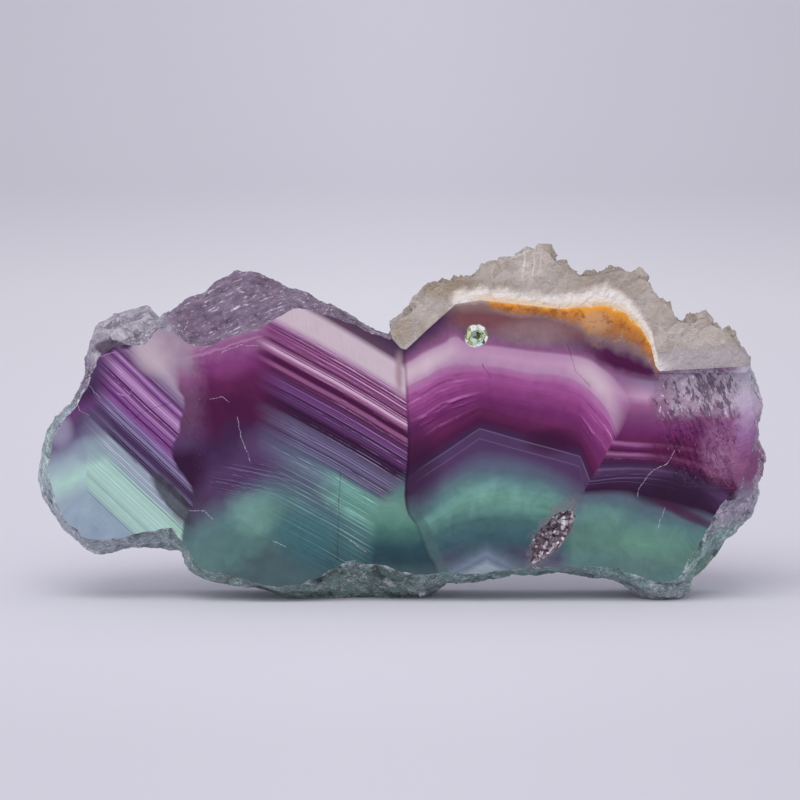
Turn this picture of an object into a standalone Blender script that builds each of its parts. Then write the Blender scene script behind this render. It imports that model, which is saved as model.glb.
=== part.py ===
"""Rainbow fluorite slice, standing on its rough lower edge.

A lump of banded fluorite with a crust of drusy quartz on one shoulder, sawn into a slice by two
parallel cuts. The sawn faces look along -Y (front) and +Y (back). +X is to the right of somebody
who looks at the front, and the origin is on the ground below the middle of the slice.

Lengths are written in millimetres and turned into metres where a mesh is made.
"""

import math
import random

import bmesh
import bpy
from mathutils import Matrix, Vector, noise

MM = 0.001

# Driving dimensions, in millimetres.
THICKNESS = 16.0
FRONT_Y = -THICKNESS / 2
BACK_Y = THICKNESS / 2
CONTACT_GAP = 0.3  # between the fluorite and the quartz that grew on it
BACK_INSET = 1.6  # how far the back face's edge lies inside the widest rim

# How the broken rim is built: points between two stations, and rings before and after the widest rim.
POINTS_PER_STATION = 2
FRONT_RINGS = 5
BACK_RINGS = 5
SAW_WASTE = 0.1  # how far the lump runs on past either sawn face before it's cut

# Relief of the rough surfaces: size of the lumps and how far they stand out.
LUMP_SIZE, LUMP_HEIGHT = 7.0, 0.75
CHIP_SIZE, CHIP_HEIGHT = 2.6, 0.5
LEDGE_STEP = 0.35

# Stations along the rim: x and z of the sawn front face's edge, x and z of the widest rim, and how
# far behind the front face that rim lies. They run anticlockwise, seen from the front, from the
# notch beside the quartz to the quartz's other end.
MIDDLE_SHOULDER = [
    (-1.6, 39.8, -1.6, 40.0, 4),
    (-4.3, 40.8, -4.2, 40.8, 5),
    (-6.9, 42.1, -6.6, 42.3, 5),
    (-9.9, 43.3, -9.6, 44.0, 6),
    (-12.4, 43.9, -12.8, 45.4, 8),
    (-15.1, 44.8, -14.5, 46.1, 9),
    (-17.1, 44.1, -16.9, 46.9, 11),
    (-18.8, 43.0, -18.6, 47.8, 13),
    (-20.6, 41.8, -20.8, 48.9, 14),
    (-22.6, 41.1, -22.9, 49.3, 14),
    (-24.9, 40.5, -25.1, 48.9, 14),
    (-26.8, 39.7, -27, 47.8, 14),
    (-28.6, 39.0, -28.6, 46.8, 14),
    (-30.8, 38.9, -30.1, 45.7, 13),
    (-32.5, 39.5, -31.6, 45.2, 12),
    (-34, 40.7, -33.4, 44.3, 10),
    (-35.2, 41.4, -34.9, 43.4, 8),
    (-36.1, 41.7, -36.3, 42.3, 5),
]
LEFT_LOBE = [
    (-37.4, 40.3, -37.4, 43.2, 8),
    (-38.2, 39.3, -38.2, 44.0, 9),
    (-39.8, 38.9, -39.6, 43.9, 10),
    (-41.2, 38.9, -41.5, 43.2, 10),
    (-43, 38.3, -43.4, 42.8, 9),
    (-44.7, 37.6, -45, 42.0, 8),
    (-45.8, 36.8, -46.2, 41.0, 6),
    (-46.4, 35.6, -47.1, 39.2, 5),
    (-46.6, 34.2, -47.5, 36.6, 5),
    (-47.2, 32.4, -48.1, 33.8, 4),
    (-48.1, 30.8, -48.9, 31.3, 4),
    (-49, 29.1, -49.9, 29.2, 4),
    (-50.9, 27.0, -51.8, 27.8, 4),
    (-52.2, 24.9, -52.9, 26.3, 4),
    (-52.6, 22.9, -53.7, 23.3, 5),
    (-52.9, 20.8, -54.4, 20.9, 5),
    (-53.1, 18.7, -54.8, 17.8, 6),
    (-52.2, 16.3, -54.4, 15.4, 6),
    (-51, 14.2, -53.5, 13.2, 7),
    (-49.6, 11.9, -51.9, 11.1, 7),
    (-47.9, 10.0, -49.6, 8.9, 7),
    (-45.9, 9.5, -47.4, 6.8, 8),
    (-43.4, 9.9, -45, 6.1, 8),
    (-40.6, 10.5, -42.4, 6.7, 8),
    (-38.2, 11.0, -39.9, 7.5, 7),
    (-36.1, 11.5, -37.4, 7.5, 7),
    (-34.4, 11.2, -34.9, 7.5, 7),
    (-32.7, 8.9, -33.3, 7.2, 6),
]
FEET_AND_ARCH = [
    (-31.6, 6.4, -32.7, 5.2, 5),
    (-30.1, 5.2, -31.3, 3.5, 5),
    (-27.4, 4.7, -28.3, 2.9, 6),
    (-24.4, 4.1, -24.9, 2.2, 6),
    (-20.8, 3.1, -21.4, 1.1, 7),
    (-18.1, 2.7, -18.4, -0.2, 7),
    (-15.1, 3.0, -15.4, -1.1, 8),
    (-12.4, 3.6, -11.8, -1.1, 8),
    (-9.9, 5.5, -8.8, -1.1, 8),
    (-7.3, 6.4, -5.8, -1.2, 9),
    (-3.9, 5.8, -2.5, -1.2, 9),
    (-0.4, 5.0, 0.6, -1.2, 9),
    (2.5, 4.5, 3.6, -0.8, 8),
    (5, 4.6, 5.7, 0.8, 7),
    (6.5, 5.0, 6.9, 2.7, 6),
    (9.2, 4.3, 9.2, 2.4, 6),
    (12.6, 4.6, 12.6, 3.0, 6),
    (16.1, 5.5, 16.1, 3.6, 6),
    (18.6, 5.8, 19.1, 3.9, 6),
    (21.6, 5.8, 22.1, 3.9, 6),
    (25.3, 5.5, 25.6, 3.6, 6),
    (29.5, 5.3, 29.5, 3.3, 6),
    (32.9, 5.2, 32.5, 2.9, 6),
    (34.9, 4.6, 34.8, 1.4, 7),
    (37, 3.6, 36.6, -0.9, 8),
    (39.4, 3.1, 39.1, -1.1, 8),
    (41.5, 3.6, 41.9, -0.9, 8),
    (42.4, 4.9, 43.8, 0.7, 7),
]
RIGHT_END = [
    (43, 6.4, 43.6, 2.4, 7),
    (43.9, 7.9, 45.3, 3.8, 8),
    (45.1, 9.7, 47.2, 5.9, 8),
    (46.5, 12.1, 49.2, 8.6, 8),
    (47.9, 14.5, 51.4, 11.0, 8),
    (49.5, 16.6, 53.4, 12.9, 8),
    (51, 18.1, 54.3, 14.9, 8),
    (51.4, 19.9, 54.3, 17.4, 7),
    (51.4, 22.1, 54.4, 19.9, 6),
    (51.1, 24.5, 54.8, 22.2, 6),
    (51.1, 26.7, 54.1, 24.5, 5),
    (51.3, 29.0, 54.4, 26.9, 5),
    (51.3, 30.8, 54.6, 29.5, 5),
    (51.4, 32.6, 54, 31.5, 5),
    (51.4, 34.2, 53.4, 33.6, 5),
]

# Where the quartz meets the fluorite, from left to right: straight through the slice.
CONTACT = [
    (-1.3, 40.3),
    (0.4, 38.3),
    (1.6, 39.3),
    (4, 41.7),
    (5.8, 43.5),
    (8.1, 45.4),
    (11.8, 46.0),
    (17.8, 45.4),
    (23.8, 44.7),
    (26.8, 45.3),
    (30.6, 45.3),
    (33.6, 44.1),
    (35.9, 42.1),
    (37.6, 39.0),
    (38.5, 35.3),
    (44.9, 35.6),
    (49.4, 35.9),
    (52.4, 36.1),
]

# The quartz's upper edge, from left to right.
CRUST_TOP = [
    (-1.7, 41.2),
    (-1.3, 42.6),
    (-0.6, 43.7),
    (0.6, 44.4),
    (1.6, 45.4),
    (2.2, 46.9),
    (3.3, 48.1),
    (4.6, 48.9),
    (6.6, 49.5),
    (9.2, 49.7),
    (11.8, 50.5),
    (12.6, 51.5),
    (14.8, 52.1),
    (16.8, 53.1),
    (19.5, 53.9),
    (21.6, 54.4),
    (22.9, 53.4),
    (23.8, 52.1),
    (25.2, 51.7),
    (27.1, 50.2),
    (29.8, 50.3),
    (31.8, 50.8),
    (34, 51.1),
    (36.4, 50.1),
    (37.5, 48.6),
    (39, 46.7),
    (40.4, 45.6),
    (41.5, 43.9),
    (42.1, 43.0),
    (43.6, 43.3),
    (45, 44.3),
    (46.5, 43.8),
    (47.1, 42.7),
    (48.3, 42.1),
    (49.8, 41.2),
    (50.9, 40.3),
    (51.7, 38.6),
    (52.4, 37.1),
]
CRUST_ROWS = 9  # rows of points through the crust's thickness
CRUST_LUMP = 0.45  # how far the crust's upper surface rises and falls
CRUST_SUNK = 0.8  # how far that surface lies below the outline, which the crystals' tips reach
CRUST_FALL = 0.105  # how much lower it lies for each millimetre towards the back

# Quartz points on the crust: how many, their radius, and their length in radii.
QUARTZ_POINTS = 64
QUARTZ_RADIUS = (1.0, 2.2)
QUARTZ_LENGTH_IN_RADII = 1.1
QUARTZ_TIP_IN_RADII = 0.62
QUARTZ_STANDS_OUT = (-0.05, 0.22)  # how much of a point's prism shows, in radii
QUARTZ_LEAN = 0.3  # largest sideways part of a point's direction

# The big quartz point in the middle of the crust: x, z of its root, radius and length.
MAIN_POINT = (20.4, 48.3, 2.7, 4.0)

# Colourless crystals on the left lobe's upper slope: x, z, distance behind the front, radius, lean
# in x and lean in z.
LOBE_CRYSTALS = [
    (-44.2, 38.2, 2.6, 1.7, -0.5, 0.8),
    (-42.0, 39.6, 3.2, 1.9, -0.2, 1.0),
    (-39.4, 40.6, 3.8, 2.0, 0.1, 1.0),
    (-37.8, 39.6, 2.4, 1.5, 0.4, 0.7),
    (-40.7, 37.8, 1.6, 1.4, -0.1, 0.5),
    (-43.2, 36.6, 1.2, 1.2, -0.4, 0.5),
    (-41.4, 40.6, 7.0, 2.0, -0.3, 1.0),
    (-38.6, 41.6, 7.6, 1.9, 0.3, 1.0),
]

# The pocket of small crystals low on the front face: middle, half length, half width, depth, and
# the angle of its long side.
POCKET_X, POCKET_Z = 22.6, 10.2
POCKET_HALF_LENGTH, POCKET_HALF_WIDTH, POCKET_DEPTH = 5.2, 1.9, 1.5
POCKET_ANGLE = math.radians(52)
POCKET_CRYSTALS = 16

# The small faceted hollow near the top of the front face.
HOLLOW_X, HOLLOW_Z, HOLLOW_RADIUS, HOLLOW_DEPTH = 11.4, 40.3, 1.25, 0.8

# The natural face at the right that the saw missed: where it leaves the sawn face, and how deep it
# has gone at the slice's end.
MISSED_LEFT, MISSED_RIGHT = 35.5, 57.0
MISSED_BOTTOM, MISSED_TOP = 17.1, 34.9
MISSED_DEPTH = 2.6
MISSED_RELIEF = 0.35


def perlin(point, size, seed):
    """Smooth noise from about -1 to 1, with lumps of the given size."""
    return noise.noise(point / size + Vector((seed * 17.3, seed * 5.1, seed * 9.7)))


def ledged(height, step):
    """A height broken into cleavage ledges with slanted risers."""
    level = math.floor(height / step)
    rise = height / step - level
    return step * (level + min(1.0, max(0.0, (rise - 0.35) / 0.3)))


def rough(point, amount):
    """How far a point of the broken rim stands out along the rim's own direction."""
    lumps = LUMP_HEIGHT * perlin(point, LUMP_SIZE, 1)
    chips = CHIP_HEIGHT * perlin(point, CHIP_SIZE, 2)
    return amount * ledged(lumps + chips, LEDGE_STEP)


def jitter(point, amount, seed):
    """A small sideways shift that keeps the facets from lining up."""
    return amount * perlin(point, 1.7, seed)


def along(points, count):
    """Each stretch between two neighbours in a list, cut into count equal steps."""
    cut = []
    for here, following in zip(points, points[1:]):
        for step in range(count):
            share = step / count
            cut.append(tuple(a + (b - a) * share for a, b in zip(here, following)))
    cut.append(points[-1])
    return cut


def beside(points, distance):
    """A path moved sideways, to the left of somebody who walks along it."""
    moved = []
    for index, point in enumerate(points):
        here = Vector(point)
        before = Vector(points[max(0, index - 1)])
        after = Vector(points[min(len(points) - 1, index + 1)])
        into = (here - before).normalized() if index > 0 else (after - here).normalized()
        out = (after - here).normalized() if index < len(points) - 1 else into
        mitre = (Vector((-into.y, into.x)) + Vector((-out.y, out.x))).normalized()
        moved.append(here + mitre * distance / mitre.dot(Vector((-into.y, into.x))))
    return moved


def outward(points):
    """The outward direction at each point of a path that runs anticlockwise round the slice."""
    directions = []
    for index in range(len(points)):
        before = points[max(0, index - 2)]
        after = points[min(len(points) - 1, index + 2)]
        tangent = Vector((after[0] - before[0], after[1] - before[1]))
        directions.append(Vector((tangent.y, -tangent.x)).normalized())
    return directions


def link_to(collection, name, mesh):
    made = bpy.data.objects.new(name, mesh)
    collection.objects.link(made)
    return made


def mesh_from(bm, name):
    bmesh.ops.recalc_face_normals(bm, faces=bm.faces)
    mesh = bpy.data.meshes.new(name)
    bm.to_mesh(mesh)
    bm.free()
    return mesh


def loft(rings):
    """A closed body through rings of equal length, with a flat cap at either end."""
    bm = bmesh.new()
    edges = []
    for ring in rings:
        verts = [bm.verts.new(point * MM) for point in ring]
        edges.append([bm.edges.new((a, b)) for a, b in zip(verts, verts[1:] + verts[:1])])
    for near, far in zip(edges, edges[1:]):
        corners = [(a, b) for a, b in zip(near, far)]
        for a, b in corners:
            bm.faces.new((a.verts[0], a.verts[1], b.verts[1], b.verts[0]))
    bmesh.ops.contextual_create(bm, geom=edges[0])
    bmesh.ops.contextual_create(bm, geom=edges[-1])
    bmesh.ops.triangulate(bm, faces=bm.faces, quad_method="SHORT_EDGE", ngon_method="BEAUTY")
    return bm


def fluorite_rings():
    """The fluorite's rings, from the front face's edge over the widest rim to the back face's edge."""
    stations = along(MIDDLE_SHOULDER + LEFT_LOBE + FEET_AND_ARCH + RIGHT_END, POINTS_PER_STATION)
    rim = [(station[2], station[3]) for station in stations]
    directions = outward(rim)
    contact = [(x, z) for x, z in reversed(CONTACT)]
    rings = []
    last = len(stations) - 1
    for ring in range(FRONT_RINGS + BACK_RINGS + 1):
        points = []
        for index, (station, direction) in enumerate(zip(stations, directions)):
            free = min(1.0, index / 4, (last - index) / 4)
            face_x, face_z, rim_x, rim_z, rim_depth = station
            if ring <= FRONT_RINGS:
                share = ring / FRONT_RINGS
                bulge = 1 - (1 - share) ** 1.35
                x = face_x + (rim_x - face_x) * bulge
                z = face_z + (rim_z - face_z) * bulge
                y = FRONT_Y + rim_depth * share
            else:
                share = (ring - FRONT_RINGS) / BACK_RINGS
                x = rim_x - direction.x * BACK_INSET * share**2
                z = rim_z - direction.y * BACK_INSET * share**2
                y = FRONT_Y + rim_depth + (THICKNESS - rim_depth) * share
            point = Vector((x, y, z))
            out = rough(point, 0.6 * free if ring == 0 else free)
            moved = point + Vector((direction.x, 0, direction.y)) * out
            moved += free * Vector((jitter(point, 0.35, 5), 0, jitter(point, 0.35, 6)))
            if 0 < ring < FRONT_RINGS + BACK_RINGS:
                moved.y += jitter(point, 0.45, 7)
                moved.y = min(max(moved.y, FRONT_Y + 0.15), BACK_Y - 0.15)
            points.append(moved)
        share = ring / (FRONT_RINGS + BACK_RINGS)
        points += [Vector((x, FRONT_Y + THICKNESS * share, z)) for x, z in contact]
        rings.append(points)
    return with_waste(rings)


def with_waste(rings):
    """The rings with the end ones moved outwards a little, so that the saw has stone to take off."""
    front = [point - Vector((0, SAW_WASTE, 0)) for point in rings[0]]
    back = [point + Vector((0, SAW_WASTE, 0)) for point in rings[-1]]
    return [front, *rings[1:-1], back]


def crust_rings():
    """The quartz crust's rings, one for each row of points from the front face to the back face."""
    top = list(reversed(beside(CRUST_TOP, -CRUST_SUNK)))
    top[0], top[-1] = Vector(CRUST_TOP[-1]), Vector(CRUST_TOP[0])
    contact = beside(CONTACT, CONTACT_GAP)
    rings = []
    for row in range(CRUST_ROWS):
        y = FRONT_Y + THICKNESS * row / (CRUST_ROWS - 1)
        ring = [Vector((x, y, z)) for x, z in contact]
        for index, (x, z) in enumerate(top):
            thick = min(1.0, index / 6, (len(top) - 1 - index) / 6)
            point = Vector((x, y, z))
            lump = CRUST_LUMP * (perlin(point, 3.2, 11) + 0.8 * perlin(point, 1.5, 12))
            fall = CRUST_FALL * (y - FRONT_Y)
            ring.append(point + thick * Vector((0.4 * lump, 0, lump - fall)))
        rings.append(ring)
    return with_waste(rings)


def crystal(bm, root, direction, radius, length, tip, turn):
    """One six-sided crystal that stands on root and ends in a six-sided point."""
    upright = direction.normalized().to_track_quat("Z", "Y").to_matrix().to_4x4()
    place = Matrix.Translation(root * MM) @ upright @ Matrix.Rotation(turn, 4, "Z")
    made = bmesh.ops.create_cone(
        bm,
        cap_ends=True,
        segments=6,
        radius1=radius * MM,
        radius2=0.94 * radius * MM,
        depth=length * MM,
        matrix=place @ Matrix.Translation((0, 0, length / 2 * MM)),
    )
    faces = {face for vert in made["verts"] for face in vert.link_faces}
    end = max(faces, key=lambda face: (face.calc_center_median() - root * MM).dot(direction))
    bmesh.ops.poke(bm, faces=[end], offset=tip * MM)


def quartz_points(collection):
    """The crust's crystals in one mesh, which a Boolean then joins to the crust."""
    draw = random.Random(23)
    bm = bmesh.new()
    x, z, radius, length = MAIN_POINT
    tip = radius * QUARTZ_TIP_IN_RADII
    crystal(bm, Vector((x, FRONT_Y + 2.6, z)), Vector((0.12, -0.05, 1)), radius, length, tip, 0.3)
    surface = beside(CRUST_TOP, -CRUST_SUNK)
    slots = len(surface) - 6
    for number in range(QUARTZ_POINTS):
        index = 3 + int(number * slots / QUARTZ_POINTS)
        here, following = surface[index], surface[index + 1]
        share = draw.random()
        x = here[0] + (following[0] - here[0]) * share
        z = here[1] + (following[1] - here[1]) * share
        y = FRONT_Y + THICKNESS * draw.uniform(0.04, 0.96)
        along_x, along_z = following[0] - here[0], following[1] - here[1]
        normal = Vector((-along_z, 0, along_x)).normalized()
        lean = Vector([draw.uniform(-QUARTZ_LEAN, QUARTZ_LEAN) for _ in range(3)])
        direction = (normal * 0.6 + Vector((0, 0, 0.4)) + lean).normalized()
        radius = draw.uniform(*QUARTZ_RADIUS)
        length = radius * QUARTZ_LENGTH_IN_RADII
        root = Vector((x, y, z - CRUST_FALL * (y - FRONT_Y)))
        root += direction * (radius * draw.uniform(*QUARTZ_STANDS_OUT) - length)
        tip = radius * QUARTZ_TIP_IN_RADII * draw.uniform(0.85, 1.1)
        crystal(bm, root, direction, radius, length, tip, draw.uniform(0, 1))
    return cutter(collection, "quartz_points", bm)


def lobe_crystals(collection):
    """The colourless crystals on the left lobe."""
    draw = random.Random(5)
    bm = bmesh.new()
    for x, z, depth, radius, lean_x, lean_z in LOBE_CRYSTALS:
        direction = Vector((lean_x, -0.55, lean_z)).normalized()
        root = Vector((x, FRONT_Y + depth, z)) - direction * radius
        crystal(bm, root, direction, radius, radius * 1.5, radius * 0.7, draw.uniform(0, 1))
    return cutter(collection, "lobe_crystals", bm)


def pocket_place():
    """The matrix that lays the pocket's long side along its own X axis, in the front face."""
    place = Matrix.Translation(Vector((POCKET_X, FRONT_Y, POCKET_Z)) * MM)
    return place @ Matrix.Rotation(-POCKET_ANGLE, 4, "Y")


def pocket_crystals(collection):
    """Small crystals on the pocket's floor."""
    draw = random.Random(31)
    bm = bmesh.new()
    for number in range(POCKET_CRYSTALS):
        share = 2 * (number + 0.5) / POCKET_CRYSTALS - 1
        across = draw.uniform(-0.6, 0.6) * math.sqrt(1 - share * share)
        local = Vector((share * POCKET_HALF_LENGTH * 0.85, 0, across * POCKET_HALF_WIDTH))
        centre = pocket_place() @ (local * MM) / MM
        radius = draw.uniform(0.45, 0.75)
        direction = Vector((draw.uniform(-0.5, 0.5), -1, draw.uniform(-0.5, 0.5))).normalized()
        root = centre + Vector((0, POCKET_DEPTH * 0.95, 0))
        crystal(bm, root, direction, radius, 0.7, radius * 0.8, draw.uniform(0, 1))
    return cutter(collection, "pocket_crystals", bm)


def cutter(collection, name, bm):
    """A helper solid for a Boolean, which isn't part of the object itself."""
    made = link_to(collection, name, mesh_from(bm, name))
    made.hide_render = True
    made.display_type = "WIRE"
    return made


def box_cutter(collection, name, low, high):
    """A box between two corners."""
    bm = bmesh.new()
    size = [(b - a) * MM for a, b in zip(low, high)]
    middle = Vector([(a + b) / 2 * MM for a, b in zip(low, high)])
    place = Matrix.Translation(middle) @ Matrix.Diagonal((*size, 1))
    bmesh.ops.create_cube(bm, size=1, matrix=place)
    return cutter(collection, name, bm)


def pocket_cutter(collection):
    """A long lumpy body that hollows the pocket out of the front face."""
    bm = bmesh.new()
    bmesh.ops.create_icosphere(bm, subdivisions=3, radius=1)
    half = (POCKET_HALF_LENGTH, POCKET_DEPTH, POCKET_HALF_WIDTH)
    for vert in bm.verts:
        spread = 1 + 0.28 * perlin(vert.co * 3, 1.6, 21)
        vert.co = Vector([a * b * spread * MM for a, b in zip(vert.co, half)])
    bm.transform(pocket_place())
    return cutter(collection, "pocket_cut", bm)


def hollow_cutter(collection):
    """A faceted ball that leaves the small hollow near the top of the front face."""
    bm = bmesh.new()
    middle = Vector((HOLLOW_X, FRONT_Y, HOLLOW_Z)) * MM
    scale = Vector((HOLLOW_RADIUS, HOLLOW_DEPTH, HOLLOW_RADIUS)) * MM
    tilt = Matrix.Rotation(0.4, 4, "X")
    place = Matrix.Translation(middle) @ Matrix.Diagonal((*scale, 1)) @ tilt
    bmesh.ops.create_icosphere(bm, subdivisions=1, radius=1, matrix=place)
    return cutter(collection, "hollow_cut", bm)


def missed_cutter(collection):
    """Takes the front away where the saw missed the stone and left its natural face."""
    columns, rows = 20, 16
    bm = bmesh.new()
    bmesh.ops.create_grid(bm, x_segments=columns, y_segments=rows, size=0.5)
    proud = 3.0
    for vert in bm.verts:
        across, up = vert.co.x + 0.5, vert.co.y + 0.5
        x = MISSED_LEFT + (MISSED_RIGHT - MISSED_LEFT) * across
        z = MISSED_BOTTOM + (MISSED_TOP - MISSED_BOTTOM) * up
        point = Vector((x, 0, z))
        inside = min(1.0, 3.0 * across) * min(1.0, 4.0 * up)
        depth = MISSED_DEPTH * across**1.3 * min(1.0, 4.0 * up) + 0.1 * perlin(point, 6.0, 33)
        depth += MISSED_RELIEF * inside * (perlin(point, 2.2, 31) + 0.5 * perlin(point, 1.0, 32)) - 0.1
        vert.co = Vector((x, FRONT_Y + depth, z)) * MM
    made = bmesh.ops.extrude_face_region(bm, geom=bm.faces[:])
    lifted = [item for item in made["geom"] if isinstance(item, bmesh.types.BMVert)]
    for vert in lifted:
        vert.co.y = (FRONT_Y - proud) * MM
    return cutter(collection, "missed_cut", bm)


def boolean(target, other, operation):
    modifier = target.modifiers.new(other.name, "BOOLEAN")
    modifier.operation = operation
    modifier.object = other
    modifier.use_self = operation == "UNION"


def material(name, colour, roughness, transmission, ior):
    made = bpy.data.materials.new(name)
    made.use_nodes = True
    shader = made.node_tree.nodes["Principled BSDF"]
    shader.inputs["Base Color"].default_value = (*colour, 1)
    shader.inputs["Roughness"].default_value = roughness
    shader.inputs["Transmission Weight"].default_value = transmission
    shader.inputs["IOR"].default_value = ior
    return made


def build():
    for old in list(bpy.data.objects):
        bpy.data.objects.remove(old)
    parts = bpy.data.collections.new("rainbow_fluorite_slice")
    helpers = bpy.data.collections.new("cutters")
    for collection in (parts, helpers):
        bpy.context.scene.collection.children.link(collection)

    reach = 80
    front_saw = box_cutter(helpers, "front_saw", (-reach, -30, -10), (reach, FRONT_Y, reach))
    back_saw = box_cutter(helpers, "back_saw", (-reach, BACK_Y, -10), (reach, 30, reach))
    ground = box_cutter(helpers, "ground", (-reach, -31, -12), (reach, 31, 0))

    fluorite = link_to(parts, "fluorite_slab", mesh_from(loft(fluorite_rings()), "fluorite_slab"))
    boolean(fluorite, lobe_crystals(helpers), "UNION")
    boolean(fluorite, missed_cutter(helpers), "DIFFERENCE")
    boolean(fluorite, pocket_cutter(helpers), "DIFFERENCE")
    boolean(fluorite, pocket_crystals(helpers), "UNION")
    boolean(fluorite, hollow_cutter(helpers), "DIFFERENCE")
    boolean(fluorite, front_saw, "DIFFERENCE")
    boolean(fluorite, back_saw, "DIFFERENCE")
    boolean(fluorite, ground, "DIFFERENCE")
    fluorite.data.materials.append(material("fluorite", (0.30, 0.12, 0.32), 0.15, 0.6, 1.434))

    quartz = link_to(parts, "quartz_crust", mesh_from(loft(crust_rings()), "quartz_crust"))
    boolean(quartz, quartz_points(helpers), "UNION")
    boolean(quartz, front_saw, "DIFFERENCE")
    boolean(quartz, back_saw, "DIFFERENCE")
    quartz.data.materials.append(material("quartz", (0.72, 0.68, 0.60), 0.25, 0.5, 1.544))


build()
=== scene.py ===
"""Rainbow fluorite slice: a slab of growth-banded fluorite under a quartz crust, on a plain stage."""

import math

import bmesh
import bpy
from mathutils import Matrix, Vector, noise


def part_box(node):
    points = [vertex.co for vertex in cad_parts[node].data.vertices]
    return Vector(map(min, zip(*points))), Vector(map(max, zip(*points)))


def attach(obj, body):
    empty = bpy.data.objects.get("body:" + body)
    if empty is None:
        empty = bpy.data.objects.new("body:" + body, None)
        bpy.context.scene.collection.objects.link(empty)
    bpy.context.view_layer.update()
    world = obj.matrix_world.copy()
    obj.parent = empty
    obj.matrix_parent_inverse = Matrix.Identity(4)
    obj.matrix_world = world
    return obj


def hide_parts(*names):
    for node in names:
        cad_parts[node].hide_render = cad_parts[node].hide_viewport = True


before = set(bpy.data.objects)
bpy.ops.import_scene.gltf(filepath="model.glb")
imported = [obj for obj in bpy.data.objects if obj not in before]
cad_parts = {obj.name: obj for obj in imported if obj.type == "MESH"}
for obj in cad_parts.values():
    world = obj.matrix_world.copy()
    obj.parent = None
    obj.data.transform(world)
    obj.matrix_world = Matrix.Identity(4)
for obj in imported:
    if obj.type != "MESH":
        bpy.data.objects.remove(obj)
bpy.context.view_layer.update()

bl_info = {
    "name": "Rainbow fluorite slice",
    "version": (1, 0, 0),
    "blender": (4, 5, 0),
    "location": "View3D > Sidebar > Fluorite",
    "description": "Dresses the fluorite slab and its quartz crust, and builds the stage",
    "category": "Object",
}

MM = 0.001

# The sawn faces, in millimetres: the slab's and the crust's front and back planes.
FRONT_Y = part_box("fluorite_slab")[0].y / MM
BACK_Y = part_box("fluorite_slab")[1].y / MM
SAWN_WITHIN = 0.02  # how close to a sawn plane a point has to be to lie on it
STAND_Z = 0.05  # a point lower than this is on the flat spots that the slice stands on

# The mesh. Lengths are in millimetres.
SHARP_FROM = math.radians(38)
WELD = 1e-6
SPLITS = 5  # how often long edges are halved
SLOPES_SEED = 7  # of the facets' slopes, which would start from the clock without one
SMOOTHINGS = 3  # how often the fluorite's plain shape is smoothed before its relief
EDGE_SHARE = 0.4  # how much of the relief shows along the edges of the sawn faces
SLAB_TALLEST, QUARTZ_TALLEST = 0.3, 0.5  # the relief that counts as 1 in the materials
CONTACT_REACH = 0.9  # how near the contact a point belongs to the quartz's underside
CONTACT_OVER = 0.18  # how far the quartz's underside reaches over the fluorite
CONTACT_PROUD = 0.02  # how far it lies in front of the sawn faces there

FLUORITE_IOR, QUARTZ_IOR = 1.434, 1.54

# How the growth bands move on their way through the slab: sideways and down, for each millimetre.
SHEAR_X, SHEAR_Z = 0.22, -0.12


# ---------------------------------------------------------------- shader maths


def linear(colour):
    """A hex colour as linear RGBA."""
    parts = [int(colour[i : i + 2], 16) / 255 for i in (1, 3, 5)]
    return (*[p / 12.92 if p <= 0.04045 else ((p + 0.055) / 1.055) ** 2.4 for p in parts], 1.0)


class Field:
    """A number that varies over a surface. Arithmetic on it adds Math nodes."""

    def __init__(self, paint, socket):
        self.paint = paint
        self.socket = socket

    def __add__(self, other):
        return self.paint.math("ADD", self, other)

    def __radd__(self, other):
        return self.paint.math("ADD", other, self)

    def __sub__(self, other):
        return self.paint.math("SUBTRACT", self, other)

    def __rsub__(self, other):
        return self.paint.math("SUBTRACT", other, self)

    def __mul__(self, other):
        return self.paint.math("MULTIPLY", self, other)

    def __rmul__(self, other):
        return self.paint.math("MULTIPLY", other, self)

    def __truediv__(self, other):
        return self.paint.math("DIVIDE", self, other)

    def __abs__(self):
        return self.paint.math("ABSOLUTE", self)

    def __gt__(self, other):
        return self.paint.math("GREATER_THAN", self, other)

    def over(self, start, end):
        """0 at start, 1 at end and beyond it."""
        steep = 1.0 / (end - start)
        rise = self.paint.math("MULTIPLY_ADD", self, steep, -start * steep)
        return self.paint.math("MAXIMUM", self.paint.math("MINIMUM", rise, 1.0), 0.0)

    def soft(self, start, end):
        """0 at start, 1 at end, easing in and out."""
        settings = {"interpolation_type": "SMOOTHSTEP", "clamp": False}
        sockets = {"Value": self, "From Min": start, "From Max": end}
        return Field(self.paint, self.paint.node("ShaderNodeMapRange", settings, sockets).outputs[0])

    def near(self, middle, reach):
        """1 at middle, falling to 0 at reach on either side."""
        return abs(self - middle).soft(reach, 0.0)


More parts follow.
